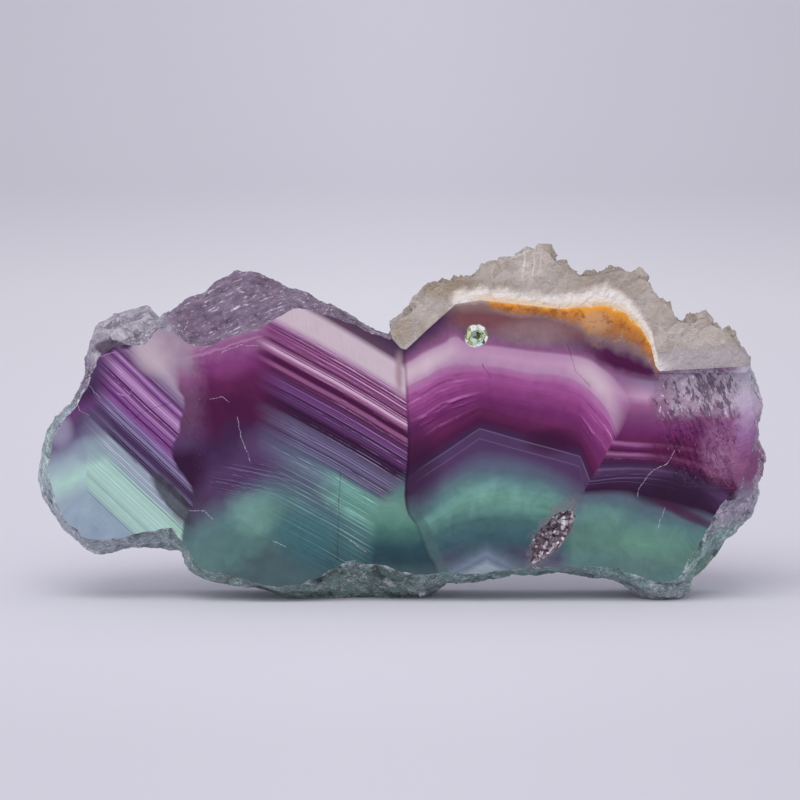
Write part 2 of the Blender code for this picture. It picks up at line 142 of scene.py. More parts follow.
class Paint:
    """One material under construction, with its points in millimetres."""

    def __init__(self, name):
        self.material = bpy.data.materials.new(name)
        self.material.use_nodes = True
        self.tree = self.material.node_tree
        self.tree.nodes.clear()
        self.place = self.node("ShaderNodeTexCoord").outputs["Object"]
        apart = self.node("ShaderNodeSeparateXYZ", {}, {0: self.place})
        self.x, self.y, self.z = (Field(self, socket) * (1 / MM) for socket in apart.outputs)

    def node(self, kind, settings=None, sockets=None):
        """Adds a node: its settings first, then the value or the link of each named socket."""
        made = self.tree.nodes.new(kind)
        for name, value in (settings or {}).items():
            if name == "stops":
                self.set_stops(made.color_ramp.elements, value)
            elif name == "points":
                self.set_points(made.mapping, *value)
            else:
                setattr(made, name, value)
        for name, value in (sockets or {}).items():
            self.feed(made.inputs[name], value)
        return made

    def feed(self, socket, value):
        """Links a field or a socket to a socket, or sets a colour or a number on it."""
        if isinstance(value, Field):
            value = value.socket
        if isinstance(value, bpy.types.NodeSocket):
            self.tree.links.new(value, socket)
        else:
            socket.default_value = linear(value) if isinstance(value, str) else value

    @staticmethod
    def set_stops(elements, stops):
        """A colour ramp's stops, from (place, hex colour) pairs in order."""
        while len(elements) < len(stops):
            elements.new(0.5)
        for element, (place, colour) in zip(elements, stops):
            element.position = place
            element.color = linear(colour)

    @staticmethod
    def set_points(mapping, points, handle):
        """A curve's points, from places in order."""
        curve = mapping.curves[0]
        while len(curve.points) < len(points):
            curve.points.new(0.5, 0.5)
        for point, place in zip(curve.points, points):
            point.location = place
            point.handle_type = handle
        mapping.extend = "HORIZONTAL"
        mapping.update()

    def math(self, operation, *values):
        made = self.node("ShaderNodeMath", {"operation": operation}, dict(enumerate(values)))
        return Field(self, made.outputs[0])

    def vector(self, operation, *values, **named):
        sockets = {**dict(enumerate(values)), **named}
        made = self.node("ShaderNodeVectorMath", {"operation": operation}, sockets)
        number = operation in ("DOT_PRODUCT", "LENGTH", "DISTANCE")
        return Field(self, made.outputs["Value"]) if number else made.outputs["Vector"]

    def point(self, x=0.0, y=0.0, z=0.0):
        return self.node("ShaderNodeCombineXYZ", {}, {0: x, 1: y, 2: z}).outputs[0]

    def mix(self, share, first, second, blend="MIX"):
        """Second over first by its share."""
        settings = {"data_type": "RGBA", "blend_type": blend, "clamp_factor": True}
        sockets = {"Factor": share, 6: first, 7: second}
        return self.node("ShaderNodeMix", settings, sockets).outputs[2]

    def tone(self, colour, strength):
        """A colour made darker or lighter by a number."""
        return self.node("ShaderNodeHueSaturation", {}, {"Color": colour, "Value": strength}).outputs[0]

    def ramp(self, level, stops):
        """The colours of a list of (level, tint's name or hex colour) stops, in any order."""
        ordered = sorted(stops)
        low, high = ordered[0][0], ordered[-1][0]
        share = (level - low) * (1.0 / (high - low))
        placed = [((place - low) / (high - low), TINTS.get(name, name)) for place, name in ordered]
        return self.node("ShaderNodeValToRGB", {"stops": placed}, {0: share}).outputs[0]

    def curve(self, along, points, handle="AUTO"):
        """A height that follows given (along, height) points, level beyond either end."""
        (left, right), (low, high) = [(min(ends), max(ends)) for ends in zip(*points)]
        placed = [((x - left) / (right - left), (y - low) / (high - low)) for x, y in sorted(points)]
        share = (along - left) * (1.0 / (right - left))
        made = self.node("ShaderNodeFloatCurve", {"points": (placed, handle)}, {"Value": share})
        return Field(self, made.outputs[0]) * (high - low) + low

    def noise(self, size, detail=2.0, rough=0.5, bend=0.0, at=None):
        """Cloudy noise from about -1 to 1 with lumps of the given size, here or at a place in millimetres."""
        sockets = {"Vector": at or self.place, "Scale": 1 / size if at else 1 / (size * MM)}
        sockets |= {"Detail": detail, "Roughness": rough, "Distortion": bend}
        made = self.node("ShaderNodeTexNoise", {}, sockets)
        return (Field(self, made.outputs[0]) - 0.5) * 3.0

    def lines(self, level, width):
        """Growth lines: noise that changes across the bands alone."""
        settings = {"noise_dimensions": "1D"}
        sockets = {"W": level * (1.0 / width), "Scale": 1.0, "Detail": 3.0, "Roughness": 0.6}
        made = self.node("ShaderNodeTexNoise", settings, sockets)
        return (Field(self, made.outputs[0]) - 0.5) * 6.0

    def streaks(self, level, width, drift):
        """Growth lines that come and go along their length as the drift changes."""
        first = self.lines(level, width)
        second = self.lines(level + 37.0, width)
        return first + (second - first) * drift.soft(-0.7, 0.7)

    def cells(self, size):
        """Angular cells: distance to the nearest edge, in cells, and each cell's own number from 0 to 1."""
        sockets = {"Vector": self.place, "Scale": 1 / (size * MM)}
        edges = self.node("ShaderNodeTexVoronoi", {"feature": "DISTANCE_TO_EDGE"}, sockets)
        own = self.node("ShaderNodeTexVoronoi", {"feature": "F1"}, sockets)
        number = self.node("ShaderNodeSeparateColor", {}, {0: own.outputs["Color"]})
        return Field(self, edges.outputs["Distance"]), Field(self, number.outputs[0])

    def attribute(self, name):
        """A number stored on the mesh's points."""
        made = self.node("ShaderNodeAttribute", {"attribute_name": name})
        return Field(self, made.outputs["Fac"])

    def segment(self, place, start, end):
        """Distance from the straight line between two points of the front face."""
        a, b = Vector((start[0], 0, start[1])), Vector((end[0], 0, end[1]))
        run = b - a
        from_a = self.vector("SUBTRACT", place, tuple(a))
        share = (self.vector("DOT_PRODUCT", from_a, tuple(run)) / run.length_squared).over(0.0, 1.0)
        return self.vector("DISTANCE", from_a, self.vector("SCALE", tuple(run), Scale=share))

    def bump(self, height, distance):
        """A surface normal from a height, with the height's unit given in millimetres."""
        return self.node("ShaderNodeBump", {}, {"Height": height, "Distance": distance * MM}).outputs[0]

    def principled(self, colour, roughness, normal=None, **constants):
        """A Principled shader, with any other socket's constant named with _ for its spaces."""
        sockets = {"Base Color": colour, "Roughness": roughness}
        if normal is not None:
            sockets["Normal"] = normal
        for name, value in constants.items():
            sockets[name.replace("_", " ")] = value
        return self.node("ShaderNodeBsdfPrincipled", {}, sockets).outputs[0]

    def blend(self, share, first, second):
        """The second shader over the first by its share."""
        return self.node("ShaderNodeMixShader", {}, {0: share, 1: first, 2: second}).outputs[0]

    def finish(self, shader):
        """The material, with a shader on its output."""
        self.node("ShaderNodeOutputMaterial", {}, {"Surface": shader})
        return self.material


# ---------------------------------------------------------------- growth bands
#
# Every list below is in millimetres on the front face. A level is a height on that face, moved down
# a band's slope to the place where the domain's own line of measure stands.

# The minerals' colours, by the names that the lists of bands use.
TINTS = {
    "skin": "#46304a", "heath": "#5c4258", "pale": "#c8b6be", "mauve": "#b088a8", "pink": "#c8a6bc",
    "rose": "#955c88", "plum": "#6e2c62", "berry": "#60244f", "wine": "#4a1840", "ink": "#331836",
    "heather": "#8a5880", "heather plum": "#8a4078", "old plum": "#64405e", "old rose": "#7c4670",
    "magenta": "#a05690", "lilac": "#bc94b0", "lilac grey": "#86708e", "ash rose": "#a08c9c",
    "ash plum": "#705468", "ash lilac": "#aa9eb4", "ash white": "#c8c0ce", "haze": "#b0a0b0",
    "violet": "#643c6c", "night": "#3e2648", "cassis": "#50385c", "grape": "#5c2c64",
    "amethyst": "#80508a", "orchid": "#a87eae", "bright orchid": "#c094c4", "pale orchid": "#c8aecc",
    "lavender": "#8e7aa6", "dusk": "#68607e", "storm": "#4e4a62", "slate": "#585e74", "steel": "#6c788c",
    "ice grey": "#788294", "ice": "#9ca8b4", "cloud ice": "#96a4b0", "pebble": "#a6b0b4",
    "sea": "#587880", "lake": "#48686e", "deep": "#3c5864", "shade": "#4c5e66", "lichen": "#567476",
    "jade": "#76a49e", "sage": "#689490", "fern": "#66908a", "fern grey": "#5e8078",
    "mint": "#a8cabe", "frost": "#98b6b0",
    "sand": "#b6a498", "umber": "#88706c", "russet": "#764a50", "cream": "#f4dcb4", "amber": "#f0aa48",
    "ochre": "#dc9238", "rust": "#c07c3a", "clay": "#b07444", "brick": "#9a6c50",
}

# Right limb of the middle crystal: level = height + slope * (x - start) + bow * (x - start) ** 2.
RIDGE_X = -20.85
LIMB_SLOPE, LIMB_BOW = 0.503, 0.00315
LIMB_TURN = 26.1  # where the purple half ends and the green half starts
LIMB_UPPER = [
    (50.5, "skin"), (48.5, "heath"), (47.5, "pale"), (46.0, "pale"), (44.5, "pale"),
    (43.5, "mauve"), (42.8, "plum"), (42.3, "rose"), (41.7, "plum"), (41.2, "rose"), (40.5, "wine"),
    (40.0, "rose"), (39.5, "pink"), (38.8, "rose"), (38.3, "wine"), (37.6, "wine"), (37.0, "rose"),
    (36.3, "wine"), (35.0, "violet"), (34.0, "violet"), (33.4, "night"), (33.0, "violet"),
    (32.0, "ink"), (31.0, "ink"), (29.5, "dusk"), (28.3, "dusk"), (27.6, "storm"), (26.8, "dusk"),
    (LIMB_TURN, "slate"),
]
LIMB_SLATE = [
    (LIMB_TURN, "slate"), (24.0, "steel"), (21.5, "slate"), (17.0, "sea"), (14.5, "lake"),
    (11.0, "deep"), (6.5, "shade"),
]
LIMB_GREEN = [
    (LIMB_TURN, "slate"), (25.0, "jade"), (22.5, "sage"), (21.0, "jade"), (19.5, "sea"),
    (16.0, "lake"), (12.5, "deep"), (9.0, "deep"),
]
LIMB_END = [
    (18.0, "#56707a"), (15.0, "#6a9088"), (12.5, "#5b867d"), (10.5, "#466c69"), (8.5, "#2e4a56"),
    (6.5, "#2c434e"), (4.0, "#4d5e66"),
]

# Cloudy left half of the middle crystal, whose bands turn down towards the lobe with depth.
CLOUD = [
    (41.0, "heather"), (39.0, "heather"), (37.0, "plum"), (35.0, "berry"), (31.0, "wine"),
    (28.5, "wine"), (26.0, "night"), (23.5, "cassis"), (20.5, "cassis"), (18.0, "slate"),
    (15.5, "sea"), (13.0, "lichen"), (9.5, "lichen"), (6.5, "shade"), (4.5, "shade"),
]

# Seam between the lobe and the middle crystal.
SEAM = [
    (46.0, "ash rose"), (41.0, "ash rose"), (37.0, "ash rose"), (34.0, "heather"),
    (31.0, "old plum"), (28.0, "old plum"), (24.0, "cassis"), (22.0, "ink"), (17.5, "ink"),
    (14.0, "storm"), (12.0, "shade"), (6.5, "sea"),
]

# Left lobe: level = height + slope * (x - start) on its right limb, and the other way on its left.
LOBE_RIGHT_X, LOBE_RIGHT_SLOPE = -42.15, 0.955
LOBE_LEFT_X, LOBE_LEFT_SLOPE = -46.65, -0.452
LOBE_TURN = 19.05  # where the stripes end
LOBE_STRIPES = [
    (43.0, "haze"), (41.3, "haze"), (39.3, "lilac grey"), (38.0, "violet"), (37.4, "orchid"),
    (36.8, "amethyst"), (36.2, "violet"), (35.6, "bright orchid"), (34.7, "orchid"),
    (33.8, "violet"), (33.2, "grape"), (32.6, "orchid"), (32.0, "amethyst"), (31.4, "amethyst"),
    (30.8, "grape"), (29.9, "amethyst"), (29.0, "lavender"), (28.4, "dusk"), (27.8, "lavender"),
    (27.2, "dusk"), (26.6, "night"), (26.0, "cassis"), (25.3, "dusk"), (24.7, "cassis"),
    (24.1, "storm"), (23.5, "ice"), (22.3, "ice"), (21.0, "cloud ice"), (20.0, "frost"),
    (19.0, "mint"),
]
LOBE_LOWER = [
    (19.0, "mint"), (15.7, "mint"), (14.9, "frost"), (14.0, "mint"), (13.0, "frost"),
    (9.7, "cloud ice"),
]
LOBE_SMOOTH = [
    (39.0, "violet"), (35.0, "cassis"), (32.0, "night"), (30.0, "violet"), (28.0, "cassis"),
    (26.0, "dusk"), (23.5, "cloud ice"), (20.0, "mint"), (17.0, "cloud ice"), (11.5, "ice"),
]

# Boundaries between the crystals, as (height, x).
LOBE_TO_SEAM = [
    (41.4, -36.9), (39.1, -36.1), (35.0, -34.2), (32.3, -33.4), (30.0, -32.5), (27.8, -33.1),
    (25.5, -33.4), (23.3, -34.4), (21.0, -33.8), (18.7, -32.2), (15.7, -31.3), (13.5, -32.2),
    (11.2, -32.8), (6.7, -33.1), (0.6, -33.1),
]
LOBE_AXIS = [
    (44.4, -42.4), (38.3, -43.4), (34.6, -44.1), (30.8, -44.9), (28.5, -46.2), (24.8, -46.95),
    (17.2, -47.3), (0.6, -47.3),
]
SEAM_TO_MIDDLE = [
    (45.9, -32.7), (39.8, -32.4), (33.8, -30.6), (24.8, -30.1), (15.7, -30.9), (9.7, -32.0),
    (0.6, -32.8),
]
MIDDLE_TO_RIGHT = [
    (39.8, 0.4), (38.3, 0.4), (30.8, 0.8), (23.3, 1.0), (15.7, 0.6), (11.9, 2.2), (7.4, 4.0),
    (4.4, 5.4), (0.6, 5.8),
]
STRIPES_END = [
    (24.8, 0.3), (18.7, -0.1), (17.4, -0.9), (15.7, -2.7), (14.1, -4.2), (11.2, -4.6), (0.6, -4.6),
]
VALLEY = [
    (41.4, 35.9), (36.8, 34.6), (33.1, 33.6), (30.0, 33.0), (26.3, 32.4), (24.0, 31.5),
    (20.8, 29.8), (18.4, 28.3), (16.5, 27.3), (13.5, 26.1), (8.9, 25.1), (0.6, 24.8),
]

# Right crystal: guides from top to bottom, as (x, height), on either side of its valley. A colour's
# share is 0 at the first guide, 1 at the second and so on.
CONTACT = [
    (-1.3, 40.3), (0.4, 38.3), (4.0, 41.7), (8.1, 45.4), (11.8, 46.0), (23.8, 44.7), (30.6, 45.3),
    (33.6, 44.1), (35.8, 42.1), (37.6, 39.1), (38.5, 35.3), (52.4, 36.1), (55.4, 36.2),
]
NEAR_PALE = [
    (-1.3, 35.9), (0.6, 36.5), (3.6, 38.3), (6.6, 39.7), (8.1, 40.6), (9.6, 39.8), (14.8, 39.1),
    (23.8, 38.0), (27.6, 37.4), (29.8, 36.2), (32.9, 33.5), (34.6, 30.5), (35.9, 27.8),
    (38.9, 23.3),
]
NEAR_MAGENTA = [
    (-1.3, 31.1), (1.3, 32.9), (3.6, 34.0), (6.6, 35.6), (9.6, 35.9), (14.8, 35.5), (19.3, 34.7),
    (23.8, 34.3), (26.8, 33.2), (29.1, 31.4), (31.0, 29.0), (32.2, 26.3), (33.1, 24.0),
    (35.9, 20.2),
]
NEAR_CHEVRON = [
    (-1.3, 17.5), (4.3, 21.4), (11.8, 26.4), (26.9, 22.2), (28.4, 18.5), (29.8, 15.7), (35.9, 9.7),
]
NEAR_GREEN = [
    (-1.3, 12.9), (1.3, 14.4), (4.3, 16.2), (7.3, 18.6), (11.1, 20.6), (14.8, 21.1), (19.3, 20.2),
    (23.8, 18.1), (26.8, 15.7), (29.8, 12.7), (35.9, 6.7),
]
NEAR_FOOT = [(-1.3, 2.9), (5.4, 4.0), (14.8, 4.4), (29.8, 4.0), (35.9, 2.1)]
FAR_PALE = [(23.8, 38.0), (29.8, 37.1), (32.9, 35.0), (37.6, 34.1), (44.9, 33.2), (55.4, 32.0)]
FAR_MAGENTA = [(23.8, 33.8), (29.8, 31.6), (32.9, 30.5), (35.9, 30.0), (44.9, 29.6), (55.4, 28.5)]
FAR_CHEVRON = [(23.8, 17.2), (28.3, 18.5), (37.4, 19.0), (43.4, 17.5), (47.1, 15.3), (55.4, 11.2)]
FAR_GREEN = [
    (23.8, 15.4), (27.6, 16.2), (32.9, 16.2), (37.4, 14.5), (41.9, 13.5), (46.4, 12.7), (55.4, 8.2),
]
FAR_FOOT = [(23.8, 4.3), (29.8, 4.0), (37.4, 2.4), (44.9, 1.8), (55.4, 0.6)]
NEAR_BANDS = [
    (1.00, "heather"), (1.12, "mauve"), (1.50, "lilac"), (1.90, "mauve"), (2.10, "magenta"),
    (2.30, "heather plum"), (2.50, "plum"), (2.70, "berry"), (2.85, "wine"), (2.97, "night"),
    (3.03, "cassis"), (3.50, "cassis"), (4.00, "slate"), (4.15, "sea"), (4.30, "fern"),
    (4.50, "lake"), (4.68, "deep"), (4.82, "storm"), (5.00, "ice grey"),
]
FAR_BANDS = [
    (1.00, "old plum"), (1.15, "lilac grey"), (1.70, "lilac"), (2.00, "rose"), (2.14, "old rose"),
    (2.35, "plum"), (2.50, "berry"), (2.54, "rose"), (2.58, "plum"), (2.64, "wine"), (2.69, "rose"),
    (2.74, "wine"), (2.82, "night"), (2.90, "cassis"), (2.98, "night"), (3.60, "ink"),
    (3.95, "slate"), (4.20, "sea"), (4.50, "fern grey"), (5.00, "sea"),
]
# The nested chevrons at the right crystal's foot, by the height below their apex.
FOOT_CHEVRONS = [
    (-2.5, "#34495a"), (-0.6, "#4e6272"), (0.0, "#5f6d7f"), (0.7, "#74809a"), (1.3, "#66748a"),
    (2.2, "#949cac"), (4.0, "#8a93a3"),
]

# Under the quartz, from the contact to where the growth bands start: shares 0 to 1.
UNDER_LEFT = [
    (0.0, "cassis"), (0.12, "night"), (0.55, "old plum"), (1.0, "heather"),
]
UNDER_MIDDLE = [
    (0.0, "sand"), (0.12, "umber"), (0.35, "russet"), (0.6, "russet"), (0.8, "ash plum"),
    (1.0, "heather"),
]
UNDER_RIGHT = [
    (0.0, "umber"), (0.4, "umber"), (0.62, "ash plum"), (0.78, "wine"), (0.92, "wine"),
    (1.0, "old plum"),
]
# Iron stain right under the quartz: how far down it reaches at each x, and its colours by that share.
STAIN_DEPTH = [
    (12.6, 0.3), (14.5, 1.6), (17.5, 1.9), (21.0, 1.6), (24.0, 2.2), (27.0, 3.6), (30.0, 5.3),
    (33.0, 4.9), (36.0, 3.8), (38.5, 1.6),
]
STAIN = [
    (0.0, "cream"), (0.06, "amber"), (0.2, "ochre"), (0.42, "rust"), (0.62, "clay"),
    (0.82, "brick"), (1.0, "umber"), (1.3, "umber"),
]

# The bands as they show through the broken rim, from the top down.
RIM_LOBE = [
    (46.0, "ash lilac"), (40.0, "lilac grey"), (34.0, "lilac grey"), (29.0, "cassis"),
    (24.0, "cloud ice"), (18.0, "frost"), (9.0, "ice"), (4.0, "pebble"),
]
RIM_MIDDLE = [
    (50.0, "ash plum"), (42.0, "ash plum"), (36.0, "berry"), (29.0, "cassis"), (22.0, "sea"),
    (14.0, "fern grey"), (7.0, "fern grey"), (0.0, "frost"),
]
RIM_RIGHT = [
    (37.0, "ash white"), (33.0, "ash white"), (29.0, "pale orchid"), (25.5, "orchid"),
    (22.0, "rose"), (19.0, "rose"), (16.0, "ash lilac"), (12.5, "ash lilac"), (10.0, "frost"),
    (7.5, "jade"), (4.5, "jade"), (0.0, "pebble"),
]

# The pocket of small crystals: its middle, the way its length runs, and its crystals' colours.
POCKET = (22.6, 10.2)
POCKET_RUN = (0.616, 0.788)
POCKET_CRYSTALS = [
    (0.0, "#54444f"), (0.3, "#6d5b66"), (0.5, "#85747e"), (0.68, "#a295a0"), (0.82, "#d3cad3"),
    (1.0, "#f4f1f5"),
]

# The small faceted hollow's changing colours.
SHEEN = [(0.0, "#2f4a3c"), (0.25, "#9aa86a"), (0.45, "#d8dcb0"), (0.65, "#9fc8c6"), (0.85, "#eef3f0")]

# Healed cracks and scratches that show white, as points on the front face: (x, height).
WHITE_CRACKS = [
    [(-48.9, 30.8), (-48.1, 29.3), (-46.9, 28.5)],
    [(-47.9, 35.0), (-46.9, 33.1), (-45.1, 31.3)],
    [(-45.6, 38.3), (-44.9, 37.3), (-42.9, 38.0)],
    [(-42.6, 32.0), (-41.1, 31.4), (-40.2, 32.6)],
    [(-24.5, 28.1), (-24.1, 25.5), (-22.6, 21.3)],
    [(-28.6, 30.8), (-26.8, 31.4), (-25.8, 30.5)],
    [(-31.6, 14.2), (-29.5, 14.1), (-28.3, 12.8)],
    [(41.1, 23.3), (40.0, 21.3), (38.1, 20.2), (36.6, 18.7), (35.7, 17.2), (35.6, 16.2)],
    [(39.6, 14.5), (39.1, 13.0), (38.6, 11.2)],
    [(-11.8, 3.2), (-8.4, 6.4), (-6.9, 6.7)],
    [(-19.3, 9.4), (-17.4, 8.5)],
    [(-7.6, 9.7), (-5.3, 7.9)],
    [(-30.1, 38.3), (-26.8, 40.1), (-20.9, 41.4)],
    [(-26.8, 38.0), (-24.1, 39.1), (-21.5, 38.9)],
]
DARK_CRACKS = [
    [(-40.2, 28.1), (-38.7, 29.0), (-36.6, 29.7), (-34.2, 30.5), (-31.6, 27.2)],
    [(-9.1, 20.2), (-9.4, 12.7), (-9.6, 6.7)],
    [(25.1, 39.1), (26.1, 35.3), (28.3, 33.0)],
    [(12.3, 36.1), (13.4, 34.1)],
]


def share_between(z, guides):
    """How far down a height has come past a list of guides: 1 at the second, 2 at the third and so on."""
    total = None
    for upper, lower in zip(guides, guides[1:]):
        share = ((upper - z) / (upper - lower)).over(0.0, 1.0)
        total = share if total is None else total + share
    return total


def patch(x, z, middle, reach):
    """1 in the middle of an upright ellipse, easing to 0 at its edge."""
    across, up = (x - middle[0]) / reach[0], (z - middle[1]) / reach[1]
    return (across * across + up * up).soft(1.0, 0.0)


def spots(paint, colour, x, z, places):
    """A colour with soft spots over it, each given by its middle, reach, strength and colour."""
    for middle, reach, strength, tint in places:
        colour = paint.mix(patch(x, z, middle, reach) * strength, colour, tint)
    return colour


def crack_lines(paint, place, cracks, width):
    """1 on any of the cracks, easing to 0 at the width's half."""
    nearest = None
    for crack in cracks:
        for start, end in zip(crack, crack[1:]):
            distance = paint.segment(place, start, end)
            nearest = distance if nearest is None else paint.math("MINIMUM", nearest, distance)
    return nearest.soft(width / 2, 0.0)


class Place:
    """The slab's coordinates and the clouds that every band is bent by."""

    def __init__(self, paint):
        self.deep = paint.y - FRONT_Y
        self.cloud = paint.noise(5.0, detail=4.0, rough=0.6)
        self.haze = paint.noise(1.6, detail=3.0)
        wander = paint.noise(9.0, detail=1.0)
        self.x = paint.x + self.deep * SHEAR_X
        self.z = paint.z + self.deep * SHEAR_Z + wander * 0.12
        self.flat = paint.point(self.x + self.haze * 0.3, 0.0, self.z + self.cloud * 0.4)


def middle_colour(paint, at):
    """The middle crystal: a striped right limb and a cloudy left one."""
    x, z, cloud, haze = at.x, at.z, at.cloud, at.haze
    out = x - RIDGE_X
    level = z + out * LIMB_SLOPE + out * out * LIMB_BOW
    fine = paint.streaks(level, 0.34, cloud)
    broad = paint.streaks(level + 7.0, 0.9, cloud)
    clear_lines = out.soft(-1.0, 6.0) * 0.65 + 0.35

    greener = (x + cloud * 2.0).soft(-14.0, -8.0)
    lower = paint.mix(greener, paint.ramp(level, LIMB_SLATE), paint.ramp(level, LIMB_GREEN))
    limb = paint.mix((LIMB_TURN - level) > 0.0, paint.ramp(level, LIMB_UPPER), lower)
    lined = level.over(43.9, 43.2) * level.over(24.5, 27.0) * clear_lines
    limb = paint.tone(limb, 1.0 + (fine * 0.42 + broad * 0.12) * lined)
    limb = paint.mix((fine * -1.0).soft(0.25, 0.6) * lined * 0.55, limb, "#330a2c")
    bright_line = fine.soft(0.4, 0.8) * lined * (out * 0.06).over(0.1, 1.0)
    limb = paint.mix(bright_line * 0.75 * level.soft(33.5, 36.5), limb, "#e8c6df")
    limb = paint.mix(bright_line * 0.55 * level.soft(36.5, 33.5), limb, "#9a90b4")
    green_lined = level.over(26.5, 25.0) * level.over(9.0, 14.0) * clear_lines
    limb = paint.tone(limb, 1.0 + (fine * 0.24 + broad * 0.08 - 0.08) * green_lined)
    limb = paint.mix(fine.soft(0.3, 0.9) * green_lined * 0.3, limb, "#a4cdc6")
    sandy = paint.streaks(out + z * 0.2, 0.3, haze)
    limb = paint.tone(limb, 1.0 + sandy * 0.05 * level.near(45.5, 3.0))

    end = paint.curve(z, STRIPES_END)
    beyond = (x - end + haze * 0.3).over(-1.4, 1.0) * z.over(20.0, 17.5)
    limb = paint.mix(beyond, limb, paint.ramp(z + cloud * 0.8, LIMB_END))
    blue = patch(x, z, (-6.8, 10.6), (3.8, 3.6)) * (level + fine * 0.3).near(13.9, 2.4)
    limb = paint.mix(blue * 0.75 * (end - x).over(0.0, 0.5), limb, "#4a7f96")
    beige = (x + haze * 0.15).near(-0.3, 0.95) * z.over(30.5, 33.5) * z.over(38.6, 36.8)
    limb = paint.mix(beige * 0.9, limb, "#a3868f")

    turn = z.soft(30.8, 17.2) * 0.5 + 0.1
    cloud_level = z + turn * paint.math("MAXIMUM", -21.0 - x, 0.0) + cloud * 1.5 + haze * 0.5
    clouded = paint.ramp(cloud_level, CLOUD)
    bluish = paint.streaks(z + x * 0.2, 0.3, haze)
    lines_here = patch(x, z, (-20.0, 18.6), (10.5, 3.6))
    clouded = paint.tone(clouded, 1.0 + bluish * 0.4 * lines_here)
    clouded = paint.mix(bluish.soft(0.2, 0.8) * lines_here * 0.5, clouded, "#7c7da4")
    clouded = spots(paint, clouded, x, z, [
        ((-26.5, 37.5), (6.0, 4.5), 0.5, "#8d4a80"),
        ((-21.0, 24.5), (4.0, 3.0), 0.5, "#5c4769"),
    ])
    fan = patch(x + haze, z + cloud, (-21.8, 13.8), (5.5, 4.2))
    clouded = paint.mix(fan * 0.6, clouded, "#769c96")
    clouded = paint.tone(clouded, 1.0 + cloud * 0.08 + haze * 0.06)

    seam_x = -20.6 + (38.0 - z).over(0.0, 20.0) * 3.0 + haze * 0.5 + cloud * 0.6
    seam_width = 1.6 + (42.0 - z).over(0.0, 14.0) * 5.0
    middle = paint.mix(((x - seam_x) / seam_width + 0.5).over(0.0, 1.0), clouded, limb)
    veil = (z - (x + 30.1) * 0.34 + haze * 0.3).near(39.6, 2.2) * x.over(-18.5, -22.0)
    middle = paint.mix(veil * 0.75, middle, "#a883a0")
    wisps = (z - (x + 30.1) * 0.3 + cloud * 0.6 + haze * 0.3).near(37.7, 0.35) * x.over(-20.0, -22.0)
    middle = paint.mix(wisps * 0.3, middle, "#d3a8c8")
    middle = paint.mix(patch(x + cloud, z, (-14.5, 10.5), (6.5, 5.0)) * 0.55, middle, "#3f6a76")
    return paint.mix(patch(x, z, (-29.0, 9.0), (3.5, 6.0)) * 0.5, middle, "#5f787c")


def lobe_colour(paint, at):
    """The left lobe: striped right of its axis, smooth left of it."""
    x, z, cloud, haze = at.x, at.z, at.cloud, at.haze
    right_level = z + (x - LOBE_RIGHT_X) * LOBE_RIGHT_SLOPE
    left_level = z + (x - LOBE_LEFT_X) * LOBE_LEFT_SLOPE
    fine = paint.streaks(right_level, 0.34, cloud)
    broad = paint.streaks(right_level + 9.0, 0.9, cloud)
    stripes = paint.mix(
        (LOBE_TURN - right_level) > 0.0,
        paint.ramp(right_level, LOBE_STRIPES),
        paint.ramp(right_level, LOBE_LOWER),
    )
    lined = right_level.over(41.0, 38.5) * right_level.over(17.0, 24.0)
    stripes = paint.tone(stripes, 0.96 + fine * 0.09 + (fine * 0.36 + broad * 0.1) * lined)
    pink_line = fine.soft(0.35, 0.8) * right_level.over(40.0, 38.8) * right_level.over(30.0, 32.0)
    stripes = paint.mix(pink_line * 0.5, stripes, "#d9a9d3")
    dark_line = (fine * -1.0).soft(0.2, 0.55) * right_level.over(29.8, 28.4) * right_level.over(22.8, 23.8)
    stripes = paint.mix(dark_line * 0.8, stripes, "#22122c")
    magenta_line = (fine * -1.0).soft(0.3, 0.7) * right_level.over(38.6, 37.8) * right_level.over(29.5, 31.0)
    stripes = paint.mix(magenta_line * 0.8, stripes, "#471449")
    green_line = fine.soft(0.4, 0.9) * right_level.over(23.0, 22.0)
    stripes = paint.mix(green_line * 0.4, stripes, "#cbe3df")
    stripes = paint.mix(patch(x, z, (-36.5, 37.5), (4.5, 3.8)) * 0.6, stripes, "#c3b0b6")
    smooth_limb = paint.tone(paint.ramp(left_level + cloud * 0.5, LOBE_SMOOTH), 1.0 + haze * 0.05)
    axis = paint.curve(z, LOBE_AXIS)
    width = 0.4 + z.over(22.5, 26.0) * 3.0
    lobe = paint.mix(((x - axis) / width + 0.5).over(0.0, 1.0), smooth_limb, stripes)
    apex = 17.2 - z - abs(x + 47.3) * 0.95
    core = paint.mix(0.5 + cloud * 0.6, "#7f90a4", "#a0b2bd")
    lobe = paint.mix(apex.over(-0.1, 0.1) * 0.85, lobe, core)
    lobe = paint.mix(apex.near(0.0, 0.14) * x.over(-47.4, -46.8) * 0.7, lobe, "#4f5a68")
    lobe = spots(paint, lobe, x, z, [
        ((-46.5, 27.0), (4.0, 3.2), 0.6, "#5a4c6c"),
        ((-46.7, 23.2), (3.2, 2.6), 0.7, "#8490a0"),
        ((-51.3, 26.2), (2.6, 3.2), 0.8, "#9a95ab"),
    ])
    dark = patch(x, z, (-44.0, 38.6), (1.8, 1.0)) + patch(x, z, (-41.3, 39.0), (1.3, 0.8))
    return paint.mix(dark * 0.9, lobe, "#33183a")


